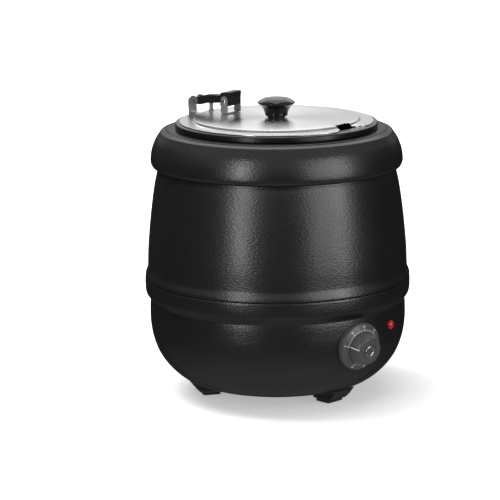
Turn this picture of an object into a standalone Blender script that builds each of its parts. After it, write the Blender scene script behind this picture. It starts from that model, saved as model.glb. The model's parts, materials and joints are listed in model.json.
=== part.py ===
"""Wet-heat soup kettle: powder-coated shell, water well, lift-out pot, hinged lid, dial, lamp and feet.

Metres, +Z up. The dial is on the -Y side, the cable gland on the +Y side, the floor at z = 0.
Lengths named below are in millimetres and are scaled by MM where they are used.
"""
import math

import bmesh
import bpy
from mathutils import Matrix, Vector

MM = 0.001
GAP = 0.3  # clearance between pieces that touch

# ---- driving dimensions (mm) ----
BELLY_R = 170.0
SEG_BODY = 40
SEG_SMALL = 16
SHEET = 1.2
COLLAR_SHEET = 1.5
WELL_R = 118.0
WELL_SHEET = 1.5
WELL_FLOOR_Z = 55.0
POT_R = 109.0
POT_SHEET = 0.9
POT_FLOOR_Z = 70.0
RIM_RING_R = 128.6
RIM_RING_TOP = 349.8
LID_R = 123.5
LID_SHEET = 1.0
LID_TOP = 354.4
LID_STEP_R = 104.6
NOTCH_AZ = 15.3
NOTCH_INNER_R = 99.5
NOTCH_HALF_INNER = 14.0
NOTCH_HALF_TIP = 21.0
NOTCH_HALF_RIM = 30.0
HINGE_AZ = NOTCH_AZ + 183.5
HINGE_SLOT_HALF = 10.0
HINGE_SLOT_R = 110.0
PIVOT_U = 121.5
PIVOT_Z = 367.0
PIN_R = 2.0
PIN_HALF = 9.2
HOOK_T = 1.2
BRACKET_U0, BRACKET_U1 = 65.0, 75.0
BRACKET_HALF = 15.5
BRACKET_T = 1.2
BRACKET_TOP = 377.5
RIVET_R = 1.8
RIVET_Z = 370.5
ARM_HALF = 7.0
POST_U = 100.8
POST_R = 2.7
POST_TOP = 364.7
DIAL_Z = 88.0
DIAL_WALL_R = 163.1
DIAL_TILT = 7.0
BEZEL_R = 30.2
KNOB_R = 21.0
LAMP_AZ = 21.2
LAMP_Z = 103.5
LAMP_R = 5.6
GLAND_Z = 103.5
GLAND_WALL_R = 164.05
GLAND_TILT = 0.0
FOOT_AZ = 7.5
FOOT_COUNT = 3
FOOT_SCREW_R = 92.0
PAD_TOP = 2.6
BASE_PLATE_R = 100.0
BASE_PLATE_Z = 14.0
ELEMENT_R = 74.0
ELEMENT_TUBE = 3.5
ELEMENT_Z = 49.7
ELEMENT_TAIL = 8.0
BLOCK_Z = 18.2
BLOCK_H = 13.0
WIRE_R = 1.5
WIRE_POINTS = 9
BULB_AZ = -34.0
BULB_R = 3.0
THERMO_SCREW_X = 14.0

# outer shape of the body, radius and height, from the collar down to the floor opening
COLLAR_OUTER = [
    (139.0, 341.9), (141.6, 340.7), (145.2, 339.7), (147.6, 337.4), (152.6, 330.4), (156.9, 321.4),
    (159.5, 312.6), (160.5, 303.4), (159.2, 298.0), (156.6, 295.0), (153.6, 293.6),
]
BARREL_OUTER = [
    (150.9, 299.0), (151.7, 288.0), (152.9, 284.5), (155.4, 273.5), (159.7, 245.5), (162.9, 218.0),
    (165.6, 185.5), (166.2, 165.5), (169.0, 157.5), (169.7, 152.0),
]
BOWL_OUTER = [
    (169.7, 151.3), (BELLY_R, 141.5), (169.4, 135.5), (167.0, 130.0), (163.3, 123.5), (164.1, 112.0),
    (164.0, 95.5), (162.1, 80.5), (158.7, 67.5), (152.5, 53.0), (143.5, 40.0), (130.3, 27.5),
    (116.0, 18.6), (102.5, 15.5),
]

# ---- finishes: base colour, roughness, metallic ----
FINISHES = {
    "powder_black": ((0.018, 0.018, 0.019), 0.48, 0.0),
    "gloss_black": ((0.012, 0.012, 0.013), 0.18, 0.0),
    "stainless": ((0.70, 0.70, 0.69), 0.28, 1.0),
    "aluminium": ((0.62, 0.63, 0.65), 0.42, 1.0),
    "bright_steel": ((0.72, 0.72, 0.72), 0.18, 1.0),
    "zinc_steel": ((0.50, 0.50, 0.52), 0.38, 1.0),
    "dial_grey": ((0.14, 0.145, 0.15), 0.36, 0.0),
    "red_lens": ((0.60, 0.01, 0.01), 0.12, 0.0),
    "rubber_black": ((0.02, 0.02, 0.02), 0.80, 0.0),
    "matt_black": ((0.03, 0.03, 0.03), 0.55, 0.0),
    "element_steel": ((0.22, 0.20, 0.18), 0.50, 1.0),
    "white_plastic": ((0.75, 0.74, 0.70), 0.45, 0.0),
    "wire_sleeve": ((0.35, 0.09, 0.05), 0.50, 0.0),
    "copper": ((0.72, 0.40, 0.26), 0.30, 1.0),
}


def clear_scene():
    for obj in list(bpy.data.objects):
        bpy.data.objects.remove(obj, do_unlink=True)


def finish(name):
    mat = bpy.data.materials.get(name)
    if mat is None:
        colour, rough, metal = FINISHES[name]
        mat = bpy.data.materials.new(name)
        mat.use_nodes = True
        shader = mat.node_tree.nodes["Principled BSDF"]
        shader.inputs["Base Color"].default_value = (*colour, 1.0)
        shader.inputs["Roughness"].default_value = rough
        shader.inputs["Metallic"].default_value = metal
        mat.diffuse_color = (*colour, 1.0)
    return mat


def azimuth(deg):
    """Unit vector that many degrees from -Y toward +X."""
    a = math.radians(deg)
    return Vector((math.sin(a), -math.cos(a), 0.0))


def side(deg):
    """Unit tangent beside azimuth(deg), toward growing azimuth."""
    a = math.radians(deg)
    return Vector((math.cos(a), math.sin(a), 0.0))


def frame_at(origin, normal, up):
    """Matrix whose z axis is the normal and whose y axis is close to up."""
    n = normal.normalized()
    x = up.cross(n).normalized()
    y = n.cross(x)
    m = Matrix((x, y, n)).transposed().to_4x4()
    m.translation = origin
    return m


def to_object(name, bm, mat, place=None, smooth=True):
    if place is not None:
        bm.transform(place)
    bmesh.ops.recalc_face_normals(bm, faces=bm.faces)
    for face in bm.faces:
        face.smooth = smooth
    mesh = bpy.data.meshes.new(name)
    bm.to_mesh(mesh)
    bm.free()
    mesh.transform(Matrix.Scale(MM, 4))
    if smooth:
        mesh.set_sharp_from_angle(angle=math.radians(35.0))
    obj = bpy.data.objects.new(name, mesh)
    bpy.context.scene.collection.objects.link(obj)
    obj.data.materials.append(finish(mat))
    return obj


def turned(name, loop, mat, seg=SEG_SMALL, place=None):
    """Closed solid turned about z from a closed loop of (radius, height); radius 0 means on the axis."""
    bm = bmesh.new()
    rings = []
    for r, z in loop:
        if r <= 0.0:
            rings.append([bm.verts.new((0.0, 0.0, z))])
            continue
        step = 2.0 * math.pi / seg
        rings.append([bm.verts.new((r * math.sin(k * step), -r * math.cos(k * step), z)) for k in range(seg)])
    for a, b in zip(rings, rings[1:] + rings[:1]):
        for k in range(seg):
            n = (k + 1) % seg
            if len(a) == 1 and len(b) == 1:
                break
            if len(a) == 1:
                bm.faces.new((a[0], b[n], b[k]))
            elif len(b) == 1:
                bm.faces.new((a[k], a[n], b[0]))
            else:
                bm.faces.new((a[k], a[n], b[n], b[k]))
    return to_object(name, bm, mat, place)


def prism(name, outline, length, mat, place=None, smooth=False):
    """Closed extrusion of an outline in x and y, from z = 0 to z = length."""
    bm = bmesh.new()
    low = [bm.verts.new((x, y, 0.0)) for x, y in outline]
    high = [bm.verts.new((x, y, length)) for x, y in outline]
    bm.faces.new(low)
    bm.faces.new(high)
    for k in range(len(outline)):
        n = (k + 1) % len(outline)
        bm.faces.new((low[k], low[n], high[n], high[k]))
    return to_object(name, bm, mat, place, smooth)


def skinned(name, sections, mat, place=None):
    """Closed solid through sections that have the same number of points."""
    bm = bmesh.new()
    rows = [[bm.verts.new(p) for p in section] for section in sections]
    for a, b in zip(rows, rows[1:]):
        for k in range(len(a)):
            n = (k + 1) % len(a)
            bm.faces.new((a[k], a[n], b[n], b[k]))
    bm.faces.new(rows[0])
    bm.faces.new(rows[-1])
    return to_object(name, bm, mat, place, smooth=False)


def tube(name, points, radius, mat, cyclic=False, sides=2):
    """Round rod along a row of points."""
    curve = bpy.data.curves.new(name, "CURVE")
    curve.dimensions = "3D"
    curve.bevel_depth = radius * MM
    curve.bevel_resolution = sides
    curve.use_fill_caps = True
    line = curve.splines.new("POLY")
    line.points.add(len(points) - 1)
    for point, p in zip(line.points, points):
        point.co = (p[0] * MM, p[1] * MM, p[2] * MM, 1.0)
    line.use_cyclic_u = cyclic
    line.use_smooth = True
    obj = bpy.data.objects.new(name, curve)
    bpy.context.scene.collection.objects.link(obj)
    curve.materials.append(finish(mat))
    return obj


def bezier_row(a, b, c, d, count):
    """Points along a cubic from a to d."""
    a, b, c, d = (Vector(p) for p in (a, b, c, d))
    row = []
    for k in range(count):
        t = k / (count - 1)
        s = 1.0 - t
        row.append(a * s**3 + b * 3 * s * s * t + c * 3 * s * t * t + d * t**3)
    return row


def cutter(obj):
    obj.hide_render = True
    obj.display_type = "WIRE"
    return obj


def cut(target, tools):
    for tool in tools:
        mod = target.modifiers.new("cut_" + tool.name, "BOOLEAN")
        mod.operation = "DIFFERENCE"
        mod.solver = "EXACT"
        mod.object = cutter(tool)


def offset(profile, distance):
    """Profile moved to its inner side, the side on the left of a row that runs downward."""
    moved = []
    for k, (r, z) in enumerate(profile):
        r0, z0 = profile[max(k - 1, 0)]
        r1, z1 = profile[min(k + 1, len(profile) - 1)]
        length = math.hypot(r1 - r0, z1 - z0)
        moved.append((r + (z1 - z0) / length * distance, z - (r1 - r0) / length * distance))
    return moved


def radius_at(profile, z):
    for (r0, z0), (r1, z1) in zip(profile, profile[1:]):
        if min(z0, z1) <= z <= max(z0, z1):
            return r0 + (r1 - r0) * (z - z0) / (z1 - z0)
    raise ValueError("height is off the profile")


def bolt_loop(head_r, head_h, shank_r, shank_end):
    """Turned loop of a screw with its head from z = 0 up and its shank reaching down to shank_end."""
    return [
        (0.0, head_h), (head_r * 0.7, head_h), (head_r, head_h * 0.45), (head_r, 0.0), (shank_r, 0.0),
        (shank_r, shank_end + 0.5), (shank_r - 0.5, shank_end), (0.0, shank_end),
    ]


def hex_ring(name, across, inner, length, mat, place):
    """Hexagon nut with a round hole, closed."""
    bm = bmesh.new()
    seg = 24
    outer, hole = [], []
    for k in range(seg):
        a = 2.0 * math.pi * k / seg
        wrapped = (a + math.pi / 6.0) % (math.pi / 3.0) - math.pi / 6.0
        r = across / 2.0 / math.cos(wrapped)
        outer.append((r * math.cos(a), r * math.sin(a)))
        hole.append((inner * math.cos(a), inner * math.sin(a)))
    rows = []
    for ring, z in ((outer, 0.0), (outer, length), (hole, length), (hole, 0.0)):
        rows.append([bm.verts.new((x, y, z)) for x, y in ring])
    for a, b in zip(rows, rows[1:] + rows[:1]):
        for k in range(seg):
            n = (k + 1) % seg
            bm.faces.new((a[k], a[n], b[n], b[k]))
    return to_object(name, bm, mat, place, smooth=False)


# ---- body shells ----
def make_body():
    inner_top = [(130.6, 341.9), (121.5, 341.9), (121.5, 340.4), (136.8, 340.4)]
    inside = offset(COLLAR_OUTER, COLLAR_SHEET)[3:-2:2]
    lip = [(152.4, 293.6), (152.4, 295.2), (155.6, 296.6)]
    loop = [inner_top[1], inner_top[0]] + COLLAR_OUTER + lip + inside[::-1] + [inner_top[3], inner_top[2]]
    collar = turned("collar_ring", loop, "powder_black", SEG_BODY)

    inside = offset(BARREL_OUTER, SHEET)
    inside = inside[:2] + inside[3:-2:2] + inside[-2:]
    barrel = turned("barrel_shell", BARREL_OUTER + inside[::-1], "powder_black", SEG_BODY)

    inside = offset(BOWL_OUTER, SHEET)
    joggle = [(166.4, 156.6), (167.5, 155.6), (167.9, 151.3)]
    floor = [(84.0, 15.5), (84.0, 15.5 + SHEET)]
    inner = [(165.2, 156.6), (166.6, 151.3)] + inside[2:-1:2]
    loop = joggle + BOWL_OUTER + floor + inner[::-1]
    bowl = turned("base_bowl", loop, "powder_black", SEG_BODY)
    cut(bowl, [
        turned("tool_shaft", [(0.0, -12.0), (4.5, -12.0), (4.5, 12.0), (0.0, 12.0)], "matt_black",
               place=DIAL_FRAME),
        turned("tool_lamp", [(0.0, -12.0), (4.6, -12.0), (4.6, 12.0), (0.0, 12.0)], "matt_black",
               place=LAMP_FRAME),
        turned("tool_gland", [(0.0, -14.0), (7.6, -14.0), (7.6, 12.0), (0.0, 12.0)], "matt_black",
               place=GLAND_FRAME),
    ] + [screw_hole("tool_bowl_foot_%d" % k, k) for k in range(FOOT_COUNT)]
      + [tilted_hole("tool_thermo_%d" % k, x) for k, x in enumerate((-THERMO_SCREW_X, THERMO_SCREW_X))])

    plate = turned("base_plate", [(0.0, BASE_PLATE_Z + SHEET), (BASE_PLATE_R, BASE_PLATE_Z + SHEET),
                                  (BASE_PLATE_R, BASE_PLATE_Z), (0.0, BASE_PLATE_Z)],
                   "zinc_steel", SEG_BODY)
    cut(plate, [screw_hole("tool_plate_foot_%d" % k, k) for k in range(FOOT_COUNT)])
    return collar, barrel


def screw_hole(name, index):
    at = azimuth(FOOT_AZ + 120.0 * index) * FOOT_SCREW_R
    return turned(name, [(0.0, 8.0), (2.5, 8.0), (2.5, 24.0), (0.0, 24.0)], "matt_black", 12,
                  Matrix.Translation(at))


def tilted_hole(name, x):
    return turned(name, [(0.0, -9.0), (1.9, -9.0), (1.9, 9.0), (0.0, 9.0)], "matt_black", 12,
                  DIAL_FRAME @ Matrix.Translation((x, 0.0, 0.0)))


# ---- feet ----
def make_feet():
    radii = [77.0, 84.0, 92.0, 100.2, 100.7, 104.0, 106.5, 109.5, 113.0, 117.0]
    under = [3.6, 2.9, 2.9, 2.9, 2.9, 2.9, 4.6, 8.4, 12.2, 15.9]
    bottom_half = [13.0, 15.0, 15.0, 15.0, 15.0, 14.4, 14.6, 15.6, 17.0, 18.2]
    names = ("front", "right", "left")
    for k, word in enumerate(names[:FOOT_COUNT]):
        az = FOOT_AZ + 120.0 * k
        place = Matrix((side(az), azimuth(az), Vector((0.0, 0.0, 1.0)))).transposed().to_4x4()
        sections = []
        for r, low, half in zip(radii, under, bottom_half):
            top = BASE_PLATE_Z - GAP if r < BASE_PLATE_R + 0.5 else radius_top(r) - 0.45
            mid = low + (top - low) * 0.55
            wide = 19.0
            sections.append([
                (-half, r, low), (half, r, low), (half + 0.9, r, mid), (wide, r, top), (-wide, r, top),
                (-half - 0.9, r, mid),
            ])
        foot = skinned("foot_" + word, sections, "powder_black", place)
        at = azimuth(az) * FOOT_SCREW_R
        bore = [(0.0, 0.0), (5.0, 0.0), (5.0, 6.6), (2.6, 6.6), (2.6, 20.0), (0.0, 20.0)]
        cut(foot, [turned("tool_foot_bore_" + word, bore, "matt_black", 16, Matrix.Translation(at))])
        pad = [(-12.0, 80.0), (12.0, 80.0), (13.6, 82.0), (13.6, 101.0), (12.0, 103.0), (-12.0, 103.0),
               (-13.6, 101.0), (-13.6, 82.0)]
        prism("foot_pad_" + word, pad, PAD_TOP, "rubber_black", place)
        screw = [(0.0, 3.4), (3.2, 3.4), (4.4, 4.6), (4.4, 6.3), (2.0, 6.3), (2.0, 20.5), (1.4, 21.5),
                 (0.0, 21.5)]
        turned("foot_screw_" + word, screw, "zinc_steel", 12, Matrix.Translation(at))


def radius_top(r):
    """Height of the bowl's outer surface at a radius near its floor."""
    low = [p for p in BOWL_OUTER if p[1] <= 46.0]
    for (r0, z0), (r1, z1) in zip(low, low[1:]):
        if r1 <= r <= r0:
            return z0 + (z1 - z0) * (r - r0) / (r1 - r0)
    return low[-1][1]


# ---- well, pot, rim ring ----
def make_vessels():
    wi, wo = WELL_R, WELL_R + WELL_SHEET
    z0 = WELL_FLOOR_Z
    turned("water_well", [
        (wi, 343.6), (125.8, 343.6), (125.8, 342.2), (wo, 342.2), (wo, z0 + 11.0), (wo - 3.5, z0 + 2.4),
        (wo - 12.0, z0 - WELL_SHEET), (0.0, z0 - WELL_SHEET), (0.0, z0), (wi - 11.0, z0),
        (wi - 3.2, z0 + 3.2), (wi, z0 + 12.0),
    ], "aluminium", SEG_BODY)

    pi, po = POT_R, POT_R + POT_SHEET
    z0 = POT_FLOOR_Z
    turned("soup_pot", [
        (pi, 344.4), (pi + 0.8, 345.1), (125.9, 345.1), (125.9, 343.9), (po + 0.6, 343.9), (po, 343.2),
        (po, z0 + 14.0), (po - 4.2, z0 + 3.2), (po - 15.0, z0 - POT_SHEET), (0.0, z0 - POT_SHEET),
        (0.0, z0), (pi - 14.2, z0), (pi - 4.0, z0 + 4.0), (pi, z0 + 14.0),
    ], "stainless", SEG_BODY)

    turned("pot_rim_ring", [
        (112.4, 345.5), (112.4, 348.4), (113.6, RIM_RING_TOP), (126.6, RIM_RING_TOP), (127.9, 349.0),
        (RIM_RING_R, 347.2), (RIM_RING_R, 343.6), (128.0, 342.3), (126.8, 342.3), (126.3, 343.4),
        (126.3, 345.4), (113.0, 345.4),
    ], "gloss_black", SEG_BODY)


# ---- lid, knob ----
def make_lid():
    t = LID_SHEET
    lid = turned("lid", [
        (2.7, LID_TOP), (LID_STEP_R - 1.0, LID_TOP), (LID_STEP_R + 0.9, LID_TOP - 0.9),
        (LID_STEP_R + 1.6, 352.0), (LID_STEP_R + 3.0, 351.1), (LID_R - 0.6, 351.1), (LID_R, 350.6),
        (LID_R - 0.5, 350.1), (LID_STEP_R + 2.4, 350.1), (LID_STEP_R + 0.5, 351.4),
        (LID_STEP_R - 0.2, LID_TOP - t - 0.6), (LID_STEP_R - 1.3, LID_TOP - t), (2.7, LID_TOP - t),
    ], "stainless", 56)
    a = side(NOTCH_AZ)
    n = azimuth(NOTCH_AZ)
    place = Matrix((a, n, Vector((0.0, 0.0, 1.0)))).transposed().to_4x4()
    place.translation = Vector((0.0, 0.0, 345.0))
    inner, tip, rim = NOTCH_HALF_INNER, NOTCH_HALF_TIP, NOTCH_HALF_RIM
    r0 = NOTCH_INNER_R
    half = [(inner - 2.5, r0), (inner - 0.6, r0 + 0.8), (inner, r0 + 2.8), (inner + 0.6, r0 + 8.5),
            (inner + 2.6, r0 + 11.2), (tip, r0 + 13.4), (rim - 2.0, r0 + 16.4), (rim + 1.0, r0 + 19.0),
            (rim + 3.0, r0 + 27.0)]
    outline = [(-x, y) for x, y in half][::-1] + half
    notch = prism("tool_notch", outline, 20.0, "matt_black", place)
    back = Matrix((side(HINGE_AZ), azimuth(HINGE_AZ), Vector((0.0, 0.0, 1.0)))).transposed().to_4x4()
    back.translation = Vector((0.0, 0.0, 345.0))
    w = HINGE_SLOT_HALF
    slot = prism("tool_hinge_slot", [(-w, 130.0), (-w, HINGE_SLOT_R + 1.5), (-w + 1.5, HINGE_SLOT_R),
                                     (w - 1.5, HINGE_SLOT_R), (w, HINGE_SLOT_R + 1.5), (w, 130.0)],
                 20.0, "matt_black", back)
    cut(lid, [notch, slot])

    z = LID_TOP + GAP
    turned("knob_washer", [(2.6, z + 1.4), (11.0, z + 1.4), (11.0, z), (2.6, z)], "matt_black", 18)
    z = z + 1.4 + GAP
    turned("lid_knob", [
        (2.4, z), (13.2, z), (14.5, z + 1.4), (15.0, z + 4.0), (16.4, z + 7.5), (19.0, z + 11.5),
        (22.4, z + 15.0), (24.0, z + 16.4), (24.0, z + 17.2), (21.5, z + 19.4), (16.5, z + 22.0),
        (15.2, z + 22.6), (12.5, z + 22.3), (0.0, z + 21.9), (0.0, z + 13.0), (2.4, z + 13.0),
    ], "gloss_black", 28)
    turned("knob_screw", [
        (0.0, z + 12.5), (1.6, z + 12.5), (2.0, z + 12.0), (2.0, LID_TOP - t - GAP), (4.5, LID_TOP - t - GAP),
        (4.5, LID_TOP - t - 1.4), (3.2, LID_TOP - t - 2.6), (0.0, LID_TOP - t - 2.6),
    ], "zinc_steel", 16)


# ---- lid hinge ----
def hinge_frame(x, u, z):
    """Local x along the hinge line, y outward, z up."""
    m = Matrix((side(HINGE_AZ), azimuth(HINGE_AZ), Vector((0.0, 0.0, 1.0)))).transposed().to_4x4()
    return m @ Matrix.Translation((x, u, z))


def along_hinge(x0):
    """Frame for an extrusion along the hinge line: local x is outward, y is up, z runs along the line."""
    m = Matrix((azimuth(HINGE_AZ), Vector((0.0, 0.0, 1.0)), side(HINGE_AZ))).transposed().to_4x4()
    return m @ Matrix.Translation((0.0, 0.0, x0))


def make_hinge():
    t = BRACKET_T
    h = BRACKET_HALF
    z0 = LID_TOP + GAP
    base = [(-h, z0), (h, z0), (h, BRACKET_TOP - 2.0), (h - 0.2, BRACKET_TOP), (h - t, BRACKET_TOP),
            (h - t, z0 + t), (-h + t, z0 + t), (-h + t, BRACKET_TOP), (-h + 0.2, BRACKET_TOP),
            (-h, BRACKET_TOP - 2.0)]
    # outline lies across the hinge line and up, extruded outward
    across = Matrix((side(HINGE_AZ), Vector((0.0, 0.0, 1.0)), azimuth(HINGE_AZ))).transposed().to_4x4()
    across = across @ Matrix.Translation((0.0, 0.0, BRACKET_U0))
    bracket = prism("lid_bracket", base, BRACKET_U1 - BRACKET_U0, "stainless", across)
    mid_u = (BRACKET_U0 + BRACKET_U1) / 2.0
    bore = [(0.0, -h - 4.0), (RIVET_R + GAP, -h - 4.0), (RIVET_R + GAP, h + 4.0), (0.0, h + 4.0)]
    line = along_hinge(0.0) @ Matrix.Translation((mid_u, RIVET_Z, 0.0))
    cut(bracket, [turned("tool_rivet_bracket", bore, "matt_black", 16, line)])

    # arm: cross block between the ears and a bar outward to the pivot
    hb = h - t - GAP
    pu = PIVOT_U
    knuckle = 4.8
    bar = [(BRACKET_U1 + 2.0, 367.4), (104.0, 365.2), (112.0, 362.8), (pu - 3.0, PIVOT_Z - 4.2),
           (pu, PIVOT_Z - knuckle), (pu + 3.4, PIVOT_Z - 3.4), (pu + knuckle, PIVOT_Z),
           (pu + 3.4, PIVOT_Z + 3.4), (pu - 2.0, PIVOT_Z + knuckle), (108.0, 375.2), (80.0, 376.8)]
    block = [(BRACKET_U0 - 1.0, 364.4), (BRACKET_U1 + 2.0, 363.8), (BRACKET_U1 + 2.0, 379.4),
             (BRACKET_U1 - 1.0, 381.8), (BRACKET_U0 - 1.0, 382.6), (BRACKET_U0 - 2.4, 380.8)]
    arm = t_shape("hinge_arm", block, hb, bar, ARM_HALF)
    pin_bore = [(0.0, -20.0), (PIN_R + GAP, -20.0), (PIN_R + GAP, 20.0), (0.0, 20.0)]
    pivot = along_hinge(0.0) @ Matrix.Translation((pu, PIVOT_Z, 0.0))
    cut(arm, [
        turned("tool_rivet_arm", bore, "matt_black", 16, line),
        turned("tool_pin_arm", pin_bore, "matt_black", 16, pivot),
        turned("tool_post_arm", [(0.0, 350.0), (2.1, 350.0), (2.1, 371.2), (0.0, 371.2)], "matt_black", 12,
               hinge_frame(0.0, POST_U, 0.0)),
    ])
    turned("bracket_rivet", [
        (0.0, -h - 1.7), (2.4, -h - 1.7), (3.2, -h - 0.7), (3.2, -h - GAP), (RIVET_R, -h - GAP),
        (RIVET_R, h + GAP), (3.2, h + GAP), (3.2, h + 0.7), (2.4, h + 1.7), (0.0, h + 1.7),
    ], "bright_steel", 16, line)
    turned("arm_post", [
        (0.0, LID_TOP + GAP), (POST_R, LID_TOP + GAP), (POST_R, POST_TOP), (1.8, POST_TOP), (1.8, 370.6),
        (0.0, 370.6),
    ], "zinc_steel", 16, hinge_frame(0.0, POST_U, 0.0))
    turned("hinge_pin", [
        (0.0, -PIN_HALF - 1.2), (2.6, -PIN_HALF - 1.2), (3.0, -PIN_HALF - 0.3), (3.0, -PIN_HALF + 0.3),
        (PIN_R, -PIN_HALF + 0.3), (PIN_R, PIN_HALF), (1.5, PIN_HALF + 0.6), (0.0, PIN_HALF + 0.6),
    ], "bright_steel", 16, pivot)
    make_hook(pivot, pin_bore)


def t_shape(name, block, half_block, bar, half_bar):
    """Closed solid: a block across the hinge line with a narrower bar leaving its outer face."""
    bm = bmesh.new()

    def column(outline, x):
        return [bm.verts.new((u, z, x)) for u, z in outline]

    b0, b1 = column(block, -half_block), column(block, half_block)
    bm.faces.new(b0)
    bm.faces.new(b1)
    count = len(block)
    for k in range(count):
        n = (k + 1) % count
        if k != 1:
            bm.faces.new((b0[k], b0[n], b1[n], b1[k]))
    r0, r1 = column(bar, -half_bar), column(bar, half_bar)
    bm.faces.new(r0)
    bm.faces.new(r1)
    for k in range(len(bar) - 1):
        bm.faces.new((r0[k], r0[k + 1], r1[k + 1], r1[k]))
    # outer face of the block around the root of the bar
    bm.faces.new((b0[1], b0[2], r0[-1], r0[0]))
    bm.faces.new((b1[1], b1[2], r1[-1], r1[0]))
    bm.faces.new((b0[1], r0[0], r1[0], b1[1]))
    bm.faces.new((b0[2], r0[-1], r1[-1], b1[2]))
    return to_object(name, bm, "matt_black", along_hinge(0.0), smooth=False)


def make_hook(pivot, pin_bore):
    """Stainless strip: an ear each side of the arm on the pin, joined by a web that hooks the rim ring."""
    t = HOOK_T
    x0 = ARM_HALF + GAP
    seat = RIM_RING_TOP + GAP
    lip = RIM_RING_R + 0.6
    web = [(PIVOT_U + 8.8, PIVOT_Z + 2.8), (PIVOT_U + 9.6, PIVOT_Z), (PIVOT_U + 9.4, PIVOT_Z - 6.0),
           (lip + t + 0.2, seat + 0.5), (lip + t, 345.2), (lip, 345.2), (lip, seat), (112.8, seat),
           (112.8, seat + t), (lip + 0.1, seat + t), (PIVOT_U + 8.2, PIVOT_Z - 5.8),
           (PIVOT_U + 8.4, PIVOT_Z - 0.2), (PIVOT_U + 7.7, PIVOT_Z + 2.2)]
    hook = prism("rim_hook", web, 2.0 * (x0 + t), "stainless", along_hinge(-x0 - t))
    ear = [(PIVOT_U - 4.2, PIVOT_Z - 1.0), (PIVOT_U - 3.0, PIVOT_Z - 3.8), (PIVOT_U, PIVOT_Z - 4.8),
           (PIVOT_U + 4.0, PIVOT_Z - 4.4), (PIVOT_U + 8.9, PIVOT_Z - 5.0), (PIVOT_U + 9.1, PIVOT_Z),
           (PIVOT_U + 6.6, PIVOT_Z + 4.2), (PIVOT_U + 1.9, PIVOT_Z + 6.0), (PIVOT_U - 3.4, PIVOT_Z + 5.1)]
    for k, x in enumerate((-x0 - t, x0)):
        tool = prism("tool_hook_ear_%d" % k, ear, t, "stainless", along_hinge(x))
        mod = hook.modifiers.new("ear_%d" % k, "BOOLEAN")
        mod.operation = "UNION"
        mod.solver = "EXACT"
        mod.object = cutter(tool)
    cut(hook, [turned("tool_pin_hook", pin_bore, "matt_black", 16, pivot)])


# ---- dial, thermostat ----
def tilted_frame(az, radius, z, tilt):
    a = math.radians(tilt)
    n = azimuth(az) * math.cos(a) - Vector((0.0, 0.0, math.sin(a)))
    return frame_at(azimuth(az) * radius + Vector((0.0, 0.0, z)), n, Vector((0.0, 0.0, 1.0)))


def wall_clearance(place, x, y, depth):
    """How far a point of a local frame lies outside the bowl's outer wall, measured level."""
    p = place @ Vector((x, y, depth))
    return math.hypot(p.x, p.y) - radius_at(BOWL_OUTER, p.z)


def seat_depth(place, x, y, clearance):
    low, high = -8.0, 8.0
    for _ in range(30):
        mid = (low + high) / 2.0
        if wall_clearance(place, x, y, mid) > clearance:
            high = mid
        else:
            low = mid
    return high


DIAL_FRAME = tilted_frame(0.0, DIAL_WALL_R, DIAL_Z, DIAL_TILT)
LAMP_FRAME = tilted_frame(LAMP_AZ, 164.05, LAMP_Z, 0.0)
GLAND_FRAME = tilted_frame(180.0, GLAND_WALL_R, GLAND_Z, GLAND_TILT)


def make_bezel():
    """Conical ring whose back edge follows the curve of the wall."""
    bm = bmesh.new()
    seg = 32
    profile = [(BEZEL_R, None), (29.8, 3.6), (28.4, 4.9), (21.6, 8.0), (7.6, 8.0), (7.6, 6.2), (19.6, 6.2),
               (26.4, 3.4), (28.4, None)]
    rows = []
    for r, depth in profile:
        row = []
        for k in range(seg):
            a = 2.0 * math.pi * k / seg
            x, y = r * math.cos(a), r * math.sin(a)
            z = depth if depth is not None else seat_depth(DIAL_FRAME, x, y, 0.45)
            row.append(bm.verts.new((x, y, z)))
        rows.append(row)
    for a, b in zip(rows, rows[1:] + rows[:1]):
        for k in range(seg):
            n = (k + 1) % seg
            bm.faces.new((a[k], a[n], b[n], b[k]))
    return to_object("dial_bezel", bm, "dial_grey", DIAL_FRAME)


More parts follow.
